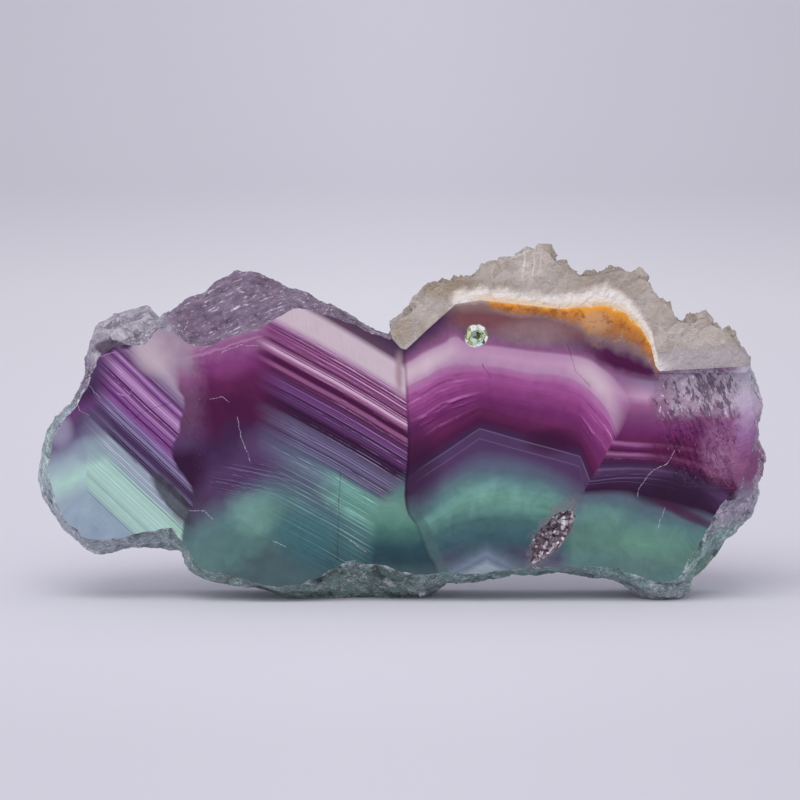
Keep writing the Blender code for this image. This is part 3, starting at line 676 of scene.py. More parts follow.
def under_quartz(paint, at, share, contact):
    """Stained fluorite between the contact and the first growth bands."""
    x, cloud, haze = at.x, at.cloud, at.haze
    specks = paint.noise(0.7, detail=4.0, rough=0.7)
    mottled = share + haze * 0.07 + specks * 0.05
    left = paint.ramp(mottled, UNDER_LEFT)
    colour = paint.mix(x.soft(5.5, 9.5), left, paint.ramp(mottled, UNDER_MIDDLE))
    colour = paint.mix((x + haze).soft(24.5, 31.5), colour, paint.ramp(mottled, UNDER_RIGHT))
    colour = paint.mix(patch(x, at.z, (20.0, 41.0), (7.5, 2.6)) * 0.6, colour, "#957d80")
    colour = paint.tone(colour, 1.0 + haze * 0.14 + specks * 0.12)
    depth = (contact - at.z) / paint.curve(x, STAIN_DEPTH) + specks * 0.2 + haze * 0.16
    stain = paint.tone(paint.ramp(depth, STAIN), 1.0 + specks * 0.35 + cloud * 0.15)
    grit = paint.noise(1.5, detail=5.0, rough=0.8)
    stain = paint.mix(patch(x, at.z, (29.2, 42.6), (3.0, 2.2)) * 0.7, stain, "#c79c74")
    stain = paint.mix(grit.soft(0.0, 0.45) * depth.soft(0.1, 0.35) * 0.75, stain, "#864e28")
    stain = paint.mix((grit * -1.0).soft(0.3, 0.6) * 0.45, stain, "#f2ba72")
    stained = depth.soft(1.3, 0.9) * x.soft(12.3, 14.0) * x.soft(38.9, 38.3)
    colour = paint.mix(stained, colour, stain)
    beyond = x.soft(37.0, 39.0)
    return paint.mix(beyond * 0.85, colour, "#64486a")


def right_colour(paint, at):
    """The right crystal: arched bands left of its valley and level ones right of it."""
    x, z, cloud, haze = at.x, at.z, at.cloud, at.haze
    contact = paint.curve(x, CONTACT, "VECTOR")
    near_guides = [contact] + [
        paint.curve(x, guide, handle)
        for guide, handle in (
            (NEAR_PALE, "AUTO"), (NEAR_MAGENTA, "AUTO"), (NEAR_CHEVRON, "VECTOR"),
            (NEAR_GREEN, "AUTO"), (NEAR_FOOT, "AUTO"),
        )
    ]
    far_guides = [contact] + [
        paint.curve(x, guide) for guide in (FAR_PALE, FAR_MAGENTA, FAR_CHEVRON, FAR_GREEN, FAR_FOOT)
    ]
    near_share = share_between(z + haze * 0.06, near_guides)
    far_share = share_between(z + haze * 0.06, far_guides)

    arcs = paint.streaks(near_share + haze * 0.02, 0.08, cloud)
    wide_arcs = paint.streaks(near_share, 0.25, cloud)
    near = paint.ramp(near_share + wide_arcs * 0.015, NEAR_BANDS)
    cream = paint.math("MAXIMUM", x.soft(11.0, 4.0), x.near(29.0, 5.0)) * near_share.near(1.5, 0.6)
    near = paint.mix(cream * 0.9, near, "#cbb6be")
    arced = near_share.near(2.4, 0.65)
    glow = patch(x, z, (31.0, 28.5), (4.5, 8.0)) + patch(x, z, (5.5, 30.5), (7.5, 6.0))
    near = paint.tone(near, 1.0 + (arcs * (0.1 + glow * 0.26) + wide_arcs * 0.1) * arced)
    near = paint.tone(near, 1.0 + (cloud * 0.12 + haze * 0.08) * near_share.near(2.4, 1.0))
    pink = (arcs * 0.8 + wide_arcs * 0.4).soft(0.2, 0.9) * glow * near_share.near(2.25, 0.65)
    near = paint.mix(pink * 0.7, near, "#c98abb")
    dark_arcs = (arcs * -1.0).soft(0.3, 0.8) * (0.3 + glow) * near_share.near(2.45, 0.55)
    near = paint.mix(dark_arcs * 0.5, near, "#4a1440")
    near = spots(paint, near, x, z, [
        ((1.0, 21.0), (6.0, 9.5), 0.6, "#2c1330"),
        ((22.5, 24.5), (5.0, 2.6), 0.7, "#35122f"),
    ])
    chevron = near_guides[3]
    steep = 1.0 + x.near(27.7, 0.95) * 1.6
    below = (chevron - z) / steep
    white_lines = below.near(0.0, 0.16) * 0.55 + below.near(1.5, 0.15) * 0.4
    near = paint.mix(white_lines * x.over(2.0, 5.0) * (0.7 + cloud * 0.3), near, "#8b7c99")
    bright = patch(x, z, (12.0, 16.5), (7.5, 4.0)) * 0.4 + patch(x, z, (20.0, 16.0), (5.0, 3.5)) * 0.3
    near = paint.mix(bright * (0.8 + cloud * 0.5), near, "#7aa99c")
    low_arcs = paint.streaks(near_share * 4.0 + x * 0.03, 0.5, cloud)
    near = paint.tone(near, 1.0 + (low_arcs * 0.12 + cloud * 0.1 + haze * 0.06) * near_share.over(3.9, 4.2))
    apex = 8.3 - z - abs(x - 12.9) * 0.5
    chevrons = paint.ramp(apex + wide_arcs * 0.15, FOOT_CHEVRONS)
    near = paint.mix(apex.soft(-2.2, -0.6) * x.near(12.5, 9.0), near, chevrons)

    lines = paint.streaks(far_share, 0.06, cloud)
    far = paint.ramp(far_share, FAR_BANDS)
    far = paint.tone(far, 1.0 + lines * 0.25 * far_share.near(2.9, 0.7) + cloud * 0.08)
    bright_lines = lines.soft(0.4, 0.9) * far_share.near(2.75, 0.45) * x.over(44.0, 36.0)
    far = paint.mix(bright_lines * 0.4, far, "#a57ba5")
    thin = far_share.near(2.88, 0.03) * 0.6 + far_share.near(3.02, 0.04) + far_share.near(3.2, 0.03) * 0.6
    far = paint.mix(thin * x.over(44.0, 32.0) * 0.5, far, "#85769a")
    deep = x.over(35.5, 38.5) * far_share.near(2.62, 0.3)
    far = paint.mix(deep * 0.85, far, "#54183f")
    far = spots(paint, far, x + cloud, z + haze, [
        ((38.0, 9.8), (7.0, 3.4), 0.4, "#6f9c8d"),
        ((30.0, 13.0), (5.0, 2.6), 0.4, "#6d998c"),
    ])
    far = paint.mix(patch(x, z, (41.5, 17.0), (7.5, 3.4)) * 0.7, far, "#2c1730")
    wine = patch(x, z + (x - 40.0) * 0.45, (43.0, 14.8), (6.5, 1.1))
    far = paint.mix(wine * 0.8, far, "#47193f")
    dusk = patch(x, z, (35.0, 5.0), (9.0, 2.6))
    far = paint.mix(dusk * (0.5 + haze * 0.3), far, "#5b6f72")
    rays = paint.streaks(x + z * 0.75, 0.6, cloud)
    beside_rim = (x - z * 0.55).over(36.0, 41.0)
    far = paint.tone(far, 1.0 + rays * 0.12 * beside_rim)

    valley = paint.curve(z, VALLEY)
    valley_width = 0.3 + z.over(24.0, 34.0) * 5.5 + z.over(17.0, 14.0) * 2.0
    bands = paint.mix(((x - valley) / valley_width + 0.5).over(0.0, 1.0), near, far)
    bands = paint.tone(bands, 1.0 + haze * 0.04 + cloud * 0.04)
    share = near_share + (far_share - near_share) * x.over(30.0, 33.0)
    return paint.mix(share.over(0.9, 1.1), under_quartz(paint, at, share, contact), bands)


def growth_colour(paint):
    """The growth bands' colour at any point of the slab."""
    at = Place(paint)
    x, z, haze = at.x, at.z, at.haze
    dots = paint.noise(0.4, detail=3.0, rough=0.7)
    swirl = paint.noise(3.2, detail=4.0, rough=0.6, bend=1.2)
    seam = paint.tone(paint.ramp(z + at.cloud * 0.6, SEAM), 1.0 + haze * 0.1)
    speckled = patch(x, z, (-30.3, 28.5), (2.2, 9.5))
    seam = paint.mix(dots.soft(0.3, 0.9) * speckled * 0.75, seam, "#cdb9c9")
    seam = paint.mix((dots * -1.0).soft(0.3, 0.9) * speckled * 0.5, seam, "#4b3036")
    edge = paint.curve(z, SEAM_TO_MIDDLE) + haze * 0.6 + at.cloud * 0.5
    colour = paint.mix((x - edge).soft(-1.6, 2.2), seam, middle_colour(paint, at))
    edge = paint.curve(z, LOBE_TO_SEAM) + haze * 0.12
    lobe_edge = 0.25 + z.over(32.0, 37.0) * 1.6
    colour = paint.mix(((edge - x) / lobe_edge).over(-1.0, 1.0), colour, lobe_colour(paint, at))
    # Painted shade: a dark grey wedge low on the left, where an inner fracture shades the bands.
    fracture_shadow = patch(x + z * 0.65 + haze * 0.3, z, (-24.0, 15.9), (2.1, 5.0)).over(0.0, 0.6)
    colour = paint.mix(fracture_shadow * 0.85, colour, paint.mix(0.5 + haze * 0.6, "#2a2531", "#53545f"))
    edge = paint.curve(z, MIDDLE_TO_RIGHT) + haze * 0.06
    colour = paint.mix((x - edge).over(-0.1, 0.1), colour, right_colour(paint, at))
    slip = (x - edge).over(0.0, 0.2) * (x - edge).over(2.2, 1.7) * z.over(16.5, 13.5)
    colour = paint.mix(slip * 0.6, colour, "#4b6468")
    near_front = paint.y.over(FRONT_Y + 2.5, FRONT_Y + 0.5)
    halo = patch(x - z * 0.55 + haze * 1.4, z + haze, (16.9, 11.0), (3.4, 6.5)).over(0.05, 0.6) * near_front
    colour = paint.mix(halo * (0.6 + dots * 0.5), colour, paint.mix(0.5 + dots * 0.6, "#54505c", "#8d8290"))
    shadow = (x - edge).near(0.15, 0.45) * z.over(40.0, 36.0) * 0.35
    colour = paint.tone(colour, 1.0 - shadow)
    low = z.over(22.0, 16.0) * x.over(-36.0, -33.0)
    colour = paint.mix(low, colour, paint.mix(1.0, colour, "#fbfff4", "MULTIPLY"))
    colour = paint.tone(colour, 1.0 + swirl * (0.05 + low * 0.13))
    colour = paint.mix(dots.soft(0.95, 1.2) * 0.4, colour, "#d8d4de")
    _, flake = paint.cells(0.8)
    sheen = paint.ramp(flake + dots * 0.2, SHEEN)
    hollow = patch(x + haze * 0.5, z + swirl * 0.4, (11.3, 40.4), (2.1, 2.0)).over(0.15, 0.3)
    colour = paint.mix(hollow * near_front * 0.9, colour, sheen)
    dark = crack_lines(paint, at.flat, DARK_CRACKS, 0.24)
    colour = paint.mix(dark * near_front * (0.45 + haze * 0.3), colour, "#2a1c30")
    white = crack_lines(paint, at.flat, WHITE_CRACKS, 0.18)
    return paint.mix(white * near_front * (0.4 + dots * 0.8).over(0.1, 1.0), colour, "#ded8e3")


def missed_skin(paint, colour):
    """The crackled skin on the natural face that the saw missed, over the bands below it."""
    x, z = paint.x, paint.z
    frost = paint.noise(1.2, detail=4.0, rough=0.65)
    fine = paint.noise(0.5, detail=4.0, rough=0.7)
    strip = x.over(38.6, 39.6) * z.over(34.4, 35.0)
    inner = paint.math("MAXIMUM", (paint.y - FRONT_Y).over(0.02, 0.25), strip) * paint.y.over(0.0, -2.0)
    slanted = paint.point((x + z * 0.45) * 1.6, paint.y * 1.4, z * 0.55 - x * 0.2)
    crackle = paint.noise(1.2, detail=3.0, rough=0.65, at=slanted)
    flecks = paint.noise(0.8, detail=2.0, rough=0.6, at=slanted)
    pale = inner * (z + frost * 0.8).over(27.6, 29.6) * (z + frost * 0.4).over(36.5, 34.9)
    skin = paint.mix(0.4 + frost * 0.6, "#957d94", "#dcd1da")
    skin = paint.mix(x.over(42.5, 38.0) * 0.9, skin, "#74526a")
    skin = paint.mix(x.over(48.0, 51.5), skin, "#d3cdd9")
    colour = paint.mix(pale * (0.75 + frost * 0.2), colour, skin)
    dense = x.over(39.0, 47.0) * x.over(51.5, 48.5) * 0.3
    dark = (crackle + dense).soft(0.22, 0.55) * x.over(52.0, 49.5)
    colour = paint.mix(dark * pale * 0.7, colour, "#4d3c55")
    colour = paint.mix(flecks.soft(0.3, 0.6) * pale * 0.75, colour, "#f1edf4")
    colour = paint.mix(strip * z.over(34.4, 35.2) * 0.6, colour, "#76597a")
    shaded = (frost * 0.6 + fine * 0.5).soft(0.1, 0.6) * x.over(44.5, 47.0) * x.over(50.5, 48.5) * pale
    colour = paint.mix(shaded * 0.7, colour, "#54465c")
    below = inner * (z + frost * 0.8).over(29.6, 27.6)
    strokes = paint.streaks(x * 0.9 + z * 0.35 + frost * 0.4, 0.5, frost)
    colour = paint.tone(colour, 1.08 + (strokes * 0.2 + fine * 0.2) * below)
    lower = below * x.over(38.5, 42.0)
    colour = paint.mix(crackle.soft(0.25, 0.5) * lower * 0.5, colour, "#34122e")
    colour = paint.mix(flecks.soft(0.4, 0.7) * lower * 0.4, colour, "#c792bb")
    blush = patch(x, z, (48.5, 23.5), (4.5, 6.5)) * below
    colour = paint.mix(blush * 0.7, colour, paint.mix(0.5 + frost * 0.6, "#84397a", "#c89abd"))
    end = inner * (x + frost * 0.8).soft(49.6, 51.4)
    colour = paint.mix(end * 0.8, colour, paint.ramp(z + frost, RIM_RIGHT))
    height = frost * 0.5 + fine * 0.3 - dark * 0.8
    return colour, height * inner


def sawn_material():
    """The polished faces, where the bands show at their clearest, and the skin that the saw missed."""
    paint = Paint("sawn_fluorite")
    scratches = paint.noise(0.5, detail=3.0)
    colour, height = missed_skin(paint, growth_colour(paint))
    rough = (paint.y - FRONT_Y).over(0.02, 0.25) * (BACK_Y - 1.0 - paint.y).over(0.0, 0.5)
    return paint.finish(paint.principled(
        colour, 0.2 + scratches * 0.04 + rough * 0.1, paint.bump(height, 0.3),
        Specular_IOR_Level=0.12, IOR=FLUORITE_IOR,
    ))


def rim_bands(paint):
    """The growth bands as they show, blurred, through the broken rim."""
    deep = paint.y - FRONT_Y
    x = paint.x + deep * SHEAR_X
    z = paint.z + deep * SHEAR_Z
    blur = paint.noise(2.5, detail=3.0, rough=0.6)
    lobe_level = z + (x - LOBE_RIGHT_X) * 0.5 + blur * 1.2
    middle_level = z + (x - RIDGE_X) * 0.25 + blur * 1.2
    lobe = paint.ramp(lobe_level, RIM_LOBE)
    middle = paint.ramp(middle_level, RIM_MIDDLE)
    right = paint.ramp(z + blur * 1.2, RIM_RIGHT)
    colour = paint.mix(x.soft(-35.0, -31.0), lobe, middle)
    return paint.mix(x.soft(0.0, 4.0), colour, right)


def broken_material():
    """The broken rim, the natural shoulder and the face that the saw missed."""
    paint = Paint("broken_fluorite")
    x, z = paint.x, paint.z
    colour = rim_bands(paint)
    frost = paint.noise(1.2, detail=4.0, rough=0.65)
    grain = paint.noise(0.35, detail=4.0, rough=0.7)
    along, across = x * 0.89 + z * 0.45, z * 0.89 - x * 0.45
    drawn_out = paint.point(along * 0.45, paint.y, across * 2.8)
    strokes = paint.noise(1.0, detail=3.0, rough=0.65, at=drawn_out)
    broad = paint.point(along * 0.22, paint.y * 0.5, across * 0.8)
    ridges = paint.noise(1.0, detail=3.0, rough=0.6, at=broad)
    natural = patch(x, z, (-25.5, 46.0), (12.5, 9.0)).over(0.0, 0.2)
    edge_above = patch(x, z + x * 0.5, (-9.0, 39.5), (12.0, 4.5)).over(0.0, 0.3)
    natural = paint.math("MAXIMUM", natural, edge_above)
    shoulder = paint.mix(0.5 + ridges * 0.5 + frost * 0.2, "#402f49", "#99829c")
    # Painted glints: white strokes on the natural shoulder.
    glint_strokes = strokes.soft(0.22, 0.5) * (0.7 + ridges * 0.4).over(0.0, 1.0)
    shoulder = paint.mix(glint_strokes * 0.95, shoulder, "#f6f1f9")
    shoulder = paint.mix((strokes * -1.0).soft(0.3, 0.7) * 0.5, shoulder, "#33253d")
    rim = paint.tone(paint.mix(0.14 + frost * 0.3, colour, "#cbc9d3"), 1.25)
    rim = paint.mix(natural * 0.85, rim, shoulder)
    veins = abs(paint.noise(2.2, detail=4.0, rough=0.65, bend=0.5))
    rim = paint.mix(veins.soft(0.16, 0.03) * (1.0 - natural) * 0.4, rim, "#3f3a4c")
    # Painted glints on the glassy rim: its tone lifted and lowered in small spots, white highlights where the
    # noise is high and dark specks where it is low.
    glints = paint.noise(0.8, detail=4.0, rough=0.75, bend=1.0)
    rim = paint.tone(rim, 1.0 + glints * 0.5 * (1.0 - natural))
    rim = paint.mix(glints.soft(0.18, 0.45) * (1.0 - natural) * 0.85, rim, "#f9f8fb")
    rim = paint.mix((glints * -1.0).soft(0.3, 0.6) * (1.0 - natural) * 0.5, rim, "#39434c")
    rim = paint.mix(patch(x, z, (45.0, 5.5), (3.6, 3.4)) * 0.45, rim, "#5f9f74")

    deep = paint.y - FRONT_Y
    # Painted highlight: a broken white line along the rim's front edge, beside the sawn face.
    edge_highlight = deep.over(0.8, 0.15) * (glints + grain * 0.3).soft(-0.2, 0.3) * (1.0 - natural)
    rim = paint.mix(edge_highlight * 0.75, rim, "#e9ebf0")

    # Painted shade and highlight from the stored relief: the rim darker in its creases and lighter on its
    # ridges.
    relief = paint.attribute("relief")
    rim = paint.tone(rim, 1.05 + relief * 0.5 + grain * 0.12)
    rim = paint.mix((relief * -1.0).soft(0.35, 0.9) * 0.4, rim, "#36404a")
    rim = paint.mix((relief + grain * 0.3).soft(0.55, 1.0) * 0.55, rim, "#e9e6f0")
    _, own = paint.cells(0.5)
    along = (x - POCKET[0]) * POCKET_RUN[0] + (z - POCKET[1]) * POCKET_RUN[1]
    across = (z - POCKET[1]) * POCKET_RUN[0] - (x - POCKET[0]) * POCKET_RUN[1]
    pocket = patch(along, across, (0.0, 0.0), (6.6, 3.2)).over(0.0, 0.1) * deep.over(3.2, 2.8)
    rim = paint.mix(pocket, rim, paint.ramp(own + grain * 0.15, POCKET_CRYSTALS))
    hollow = patch(x, z, (11.4, 40.3), (2.6, 2.6)).over(0.0, 0.1) * deep.over(2.2, 1.8)
    rim = paint.mix(hollow, rim, paint.ramp(own + grain * 0.2, SHEEN))
    # Painted light on the lobe's glassy crystals: each facet lit or shaded by its own amount, painted shade
    # along the creases between facets, and painted glints with dark specks.
    glassy = patch(x, z, (-41.0, 39.5), (7.5, 6.0)).over(0.0, 0.3)
    crease, facet_light = paint.cells(1.9)
    facet = paint.mix((facet_light * 0.7 + 0.15 + frost * 0.6).soft(0.0, 1.0), "#857a8f", "#ece7f0")
    facet = paint.mix((crease + grain * 0.06).soft(0.06, 0.0) * 0.35, facet, "#4c4256")
    facet = paint.mix(glints.soft(0.15, 0.45) * 0.85, facet, "#fbf9fd")
    facet = paint.mix((glints * -1.0).soft(0.25, 0.55) * 0.5, facet, "#5a4f66")
    rim = paint.mix(glassy * 0.9, rim, facet)
    plum = patch(x, z, (-43.4, 38.6), (3.0, 1.3)).over(0.0, 0.4)
    rim = paint.mix(plum * 0.85, rim, "#43264a")

    normal = paint.bump(frost * 0.5 + grain * 0.25, 0.35)
    frosted = paint.principled(rim, 0.2 + frost * 0.06, normal, Specular_IOR_Level=0.6, IOR=FLUORITE_IOR)
    tint = paint.mix(0.5, colour, "#ffffff")
    clear = paint.principled(tint, 0.08, normal, Transmission_Weight=1.0, IOR=FLUORITE_IOR)
    share = 0.25 + frost * 0.2 - natural * 0.3 - pocket * 0.3 - hollow * 0.3
    return paint.finish(paint.blend(share.over(0.0, 1.0), frosted, clear))


def quartz_material():
    """Milky and clear quartz, with the white layer along the contact and the warm line below it."""
    paint = Paint("milky_quartz")
    x, z = paint.x, paint.z
    cloud = paint.noise(4.0, detail=4.0, rough=0.6)
    haze = paint.noise(1.5, detail=4.0, rough=0.6)
    grain = paint.noise(0.6, detail=4.0, rough=0.7)
    edge, own = paint.cells(2.6)
    relief = paint.attribute("relief")
    above = z - paint.curve(x, CONTACT, "VECTOR")
    # Each facet's cell painted lighter or darker by its own number, as painted light on the facets.
    body = paint.mix(0.5 + cloud * 0.6 + (own - 0.5) * 0.4, "#b3a08e", "#f4e7da")
    body = paint.tone(body, 1.08 + haze * 0.14)
    body = paint.mix(haze.soft(0.2, 0.9) * 0.5, body, "#ece6e2")
    yellow = patch(x, z, (7.5, 47.8), (6.5, 2.6)) + patch(x, z, (0.3, 41.5), (2.2, 2.6)) * 0.6
    yellow = yellow + patch(x, z, (27.0, 49.5), (4.5, 3.0)) * 0.5
    body = paint.mix(yellow * (0.6 + haze * 0.3), body, "#b2976b")
    streaks = paint.streaks(x - z * 0.12 + haze * 0.25, 0.5, cloud)
    tip = patch(x, z, (19.3, 51.5), (3.6, 3.6))
    body = paint.mix(streaks.soft(0.0, 1.0) * tip * 0.85, body, "#fbf8f8")
    # Painted highlight along the facets' edges.
    body = paint.mix((edge + haze * 0.06).soft(0.05, 0.0) * 0.2, body, "#f2edea")
    rind = (above + haze - 5.0).near(0.0, 6.0)
    body = paint.mix((grain + haze * 0.5).soft(0.3, 0.7) * 0.5, body, "#fffaf5")
    body = paint.mix((grain * -1.0 - haze * 0.5).soft(0.3, 0.7) * rind * 0.4, body, "#8d7b6c")
    brown = patch(x + haze, z + haze, (32.0, 47.6), (5.5, 3.0)) + patch(x, z, (15.5, 47.5), (3.0, 2.0))
    body = paint.mix(brown * 0.45, body, "#b09a84")
    glitter = paint.noise(0.7, detail=3.0, rough=0.7, bend=0.5)
    band = (z + x * 0.16).near(44.5, 2.2) * x.soft(39.0, 42.0) + (above - 6.0).near(0.0, 2.5) * 0.35
    body = paint.mix(glitter.soft(0.35, 0.7) * band.over(0.0, 1.0) * 0.8, body, "#fbf7f4")
    sparkle = patch(x, z, (20.0, 47.6), (5.5, 2.8)) + patch(x, z, (32.5, 47.0), (4.0, 2.4))
    body = paint.mix(grain.soft(0.1, 0.7) * sparkle * 0.7, body, "#f5f1f1")
    thick = above + haze * 0.7 - x.near(31.0, 7.0) * 1.1
    layer = thick.soft(2.6, 0.9) * x.soft(6.5, 8.5) * x.soft(41.5, 38.5)
    body = paint.mix(layer * 0.95, body, paint.mix(0.5 + grain * 0.6, "#efe2d5", "#fffaf3"))
    warm = (above + haze * 0.4).soft(1.1, 0.1) * x.soft(10.0, 13.0) * x.soft(39.0, 37.0)
    body = paint.mix(warm * 0.75, body, "#f0cc9c")
    strip = (above + haze * 0.5).soft(4.2, 2.0) * x.soft(38.0, 39.5)
    body = paint.mix(strip * 0.55, body, "#c9bfcb")
    # Painted shade and highlight from the stored relief: darker in the creases between the crust's lumps,
    # lighter on their tops.
    body = paint.tone(body, 1.0 + relief * 0.3)
    body = paint.mix(relief.soft(0.25, 0.7) * 0.4, body, "#f4f1f0")
    normal = paint.bump(edge * 1.2 + haze * 0.5 + grain * 0.3, 0.4)
    milky = paint.principled(body, 0.2, normal, Specular_IOR_Level=0.6, IOR=QUARTZ_IOR)
    clear = paint.principled("#ece6e0", 0.08, normal, Transmission_Weight=1.0, IOR=QUARTZ_IOR)
    share = (0.4 + cloud * 0.3 - layer * 0.45 - tip * 0.2).over(0.0, 1.0)
    return paint.finish(paint.blend(share, milky, clear))


# ---------------------------------------------------------------- meshes


def merged_copy(node):
    """A CAD node's mesh as a bmesh with its loose triangles joined, in millimetres."""
    bm = bmesh.new()
    bm.from_mesh(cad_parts[node].data)
    bmesh.ops.remove_doubles(bm, verts=bm.verts, dist=WELD)
    bmesh.ops.scale(bm, vec=(1 / MM,) * 3, verts=bm.verts)
    for vert in bm.verts:
        if is_sawn(vert):
            vert.co.y = math.copysign(BACK_Y, vert.co.y)
    return bm


def is_sawn(vert):
    """Whether a point lies on either sawn plane."""
    return abs(vert.co.y) > BACK_Y - SAWN_WITHIN


def drop_caps(bm):
    """Takes the flat sawn faces away, so that the rough surface alone is left."""
    for side in (-1, 1):
        flat = [f for f in bm.faces if all(is_sawn(v) and v.co.y * side > 0 for v in f.verts)]
        bmesh.ops.delete(bm, geom=flat, context="FACES_ONLY")


def fill_caps(bm):
    """Closes both sawn planes again, on the edges that the rough surface now ends with."""
    caps = []
    for side in (-1, 1):
        rim = [e for e in bm.edges if e.is_boundary and all(v.co.y * side > 0 for v in e.verts)]
        made = bmesh.ops.triangle_fill(bm, edges=rim, use_beauty=True, normal=(0, side, 0))
        caps += [item for item in made["geom"] if isinstance(item, bmesh.types.BMFace)]
    return caps


def split_long_edges(bm, longest):
    """Halves the edges that are longer than the given length, a few times over."""
    bmesh.ops.delete(bm, geom=[e for e in bm.edges if e.is_wire], context="EDGES")
    for _ in range(SPLITS):
        long = [e for e in bm.edges if e.calc_length() > longest]
        bmesh.ops.subdivide_edges(bm, edges=long, cuts=1)
        bmesh.ops.triangulate(bm, faces=[f for f in bm.faces if len(f.verts) > 3])


def facets(point, size, seed):
    """Height of a surface broken into tilted flat facets, from about -1 to 1."""
    shifted = point / size + Vector((seed * 3.7, seed * 1.9, seed * 7.1))
    _, places = noise.voronoi(shifted)
    centre = places[0]
    slope = noise.noise_vector(centre * 5.3)
    return (shifted - centre).dot(slope) * 2.0


def lumps(point, size, seed):
    """Height of a surface of rounded lumps with creases between them: 1 on top, 0 in a crease."""
    distances, _ = noise.voronoi(point / size + Vector((seed * 5.1, seed * 2.3, seed * 3.9)))
    return 1.0 - min(1.0, distances[0] / max(distances[1], 1e-6)) ** 2


def distance_to_path(x, z, path):
    """Distance from a point to a path, and the path's nearest point."""
    here = Vector((x, z))
    best = None
    for start, end in zip(path, path[1:]):
        a, b = Vector(start), Vector(end)
        share = min(1.0, max(0.0, (here - a).dot(b - a) / (b - a).length_squared))
        nearest = a + (b - a) * share
        if best is None or (nearest - here).length < best[0]:
            best = ((nearest - here).length, nearest)
    return best


def move_out(bm, height, tallest):
    """Moves every point along its normal by height(point) and keeps that height, from -1 to 1, on it.

    A sawn plane's points stay in the plane.
    """
    bm.normal_update()
    kept = bm.verts.layers.float.new("relief")
    moves = []
    for vert in bm.verts:
        raised = height(vert.co)
        normal = vert.normal.copy()
        if is_sawn(vert):
            normal.y = 0.0
            normal = normal.normalized() * EDGE_SHARE
        else:
            vert[kept] = raised / tallest
        moves.append((vert, normal * raised))
    for vert, move in moves:
        sawn = is_sawn(vert)
        vert.co += move
        if not sawn:
            vert.co.y = min(max(vert.co.y, FRONT_Y + 2 * SAWN_WITHIN), BACK_Y - 2 * SAWN_WITHIN)
        vert.co.z = max(vert.co.z, 0.0)


def piece_from(bm, name, materials, node):
    """Turns a bmesh in millimetres into a piece that rides on the slab's body."""
    bmesh.ops.scale(bm, vec=(MM,) * 3, verts=bm.verts)
    smooth = [face.smooth for face in bm.faces]
    mesh = bpy.data.meshes.new(name)
    bm.to_mesh(mesh)
    bm.free()
    for material in materials:
        mesh.materials.append(material)
    mesh.attributes.remove(mesh.attributes["custom_normal"])
    mesh.set_sharp_from_angle(angle=SHARP_FROM)
    mesh.polygons.foreach_set("use_smooth", smooth)
    made = bpy.data.objects.new(name, mesh)
    bpy.context.scene.collection.objects.link(made)
    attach(made, "root")
    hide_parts(node)
    return made


# Parts of the fluorite with a surface of their own, as (left, right), (low, high) and how far back.
LOBE_CRYSTALS = (-47.5, -35.5), (35.0, math.inf), 2.5
POCKET_INSIDE = (17.0, 28.0), (4.5, 16.0), FRONT_Y + 3.0
HOLLOW_INSIDE = (9.0, 14.0), (38.0, 42.5), FRONT_Y + 2.0
MISSED_FACE = (33.0, math.inf), (15.5, 36.5), FRONT_Y + 4.5
MISSED_RELIEF = (36.0, math.inf), (17.0, 35.0), FRONT_Y + 3.5
SHOULDER = (-38.0, -12.0), (38.0, math.inf), 7.0


def within(point, part):
    """Whether a point lies in such a part."""
    (left, right), (low, high), back = part
    return left < point.x < right and low < point.z < high and point.y < back


def in_crystals(point):
    """Whether a point lies where small crystals keep their own crisp faces."""
    return any(within(point, part) for part in (LOBE_CRYSTALS, POCKET_INSIDE, HOLLOW_INSIDE))


def on_missed_face(face):
    """Whether a face belongs to the natural face that the saw missed."""
    return within(face.calc_center_median(), MISSED_FACE) and face.normal.y < -0.5


def slab_relief(point):
    """How far the broken fluorite stands out from the plain shape."""
    if point.z < STAND_Z or distance_to_path(point.x, point.z, CONTACT)[0] < 0.1:
        return 0.0
    if in_crystals(point):
        return 0.03 * facets(point, 0.7, 4)
    if within(point, MISSED_RELIEF):
        crack = lumps(Vector((point.x, point.y, point.z * 0.55)), 1.1, 8)
        return 0.16 * (crack - 0.6) + 0.05 * facets(point, 0.6, 9)
    if within(point, SHOULDER):
        cubes = facets(Vector((point.x + point.z * 0.6, point.y, point.z)), 1.1, 6)
        return 0.22 * cubes + 0.06 * facets(point, 0.6, 7)
    big = facets(point, 3.2, 1)
    small = facets(point, 1.2, 2)
    return 0.36 * big + 0.16 * small + 0.04 * noise.noise(point * 2.5)


def quartz_relief(point):
    """How far the quartz's rounded glassy crystals stand out from the plain crust."""
    if distance_to_path(point.x, point.z, CONTACT)[0] < CONTACT_REACH:
        return 0.0
    return 0.42 * (lumps(point, 2.6, 1) - 0.6) + 0.14 * (lumps(point, 1.0, 2) - 0.6)


def close_contact(bm):
    """Moves the quartz's underside over the small gap and a little over the fluorite."""
    for vert in bm.verts:
        away, nearest = distance_to_path(vert.co.x, vert.co.z, CONTACT)
        if away < CONTACT_REACH:
            here = Vector((vert.co.x, vert.co.z))
            move = (nearest - here) * (1.0 + CONTACT_OVER / max(away, 0.01))
            vert.co.x += move.x
            vert.co.z += move.y
            if is_sawn(vert):
                vert.co.y = math.copysign(BACK_Y + CONTACT_PROUD, vert.co.y)


# ---------------------------------------------------------------- settings


class SlabSettings(bpy.types.PropertyGroup):
    """The fluorite's surface."""

    facet_edge: bpy.props.FloatProperty(
        name="Facet edge",
        description="Longest edge of the broken surface's mesh",
        default=0.62 * MM,
        unit="LENGTH",
    )
    relief: bpy.props.FloatProperty(
        name="Relief",
        description="How strongly the broken surface's facets stand out",
        default=1.0,
    )


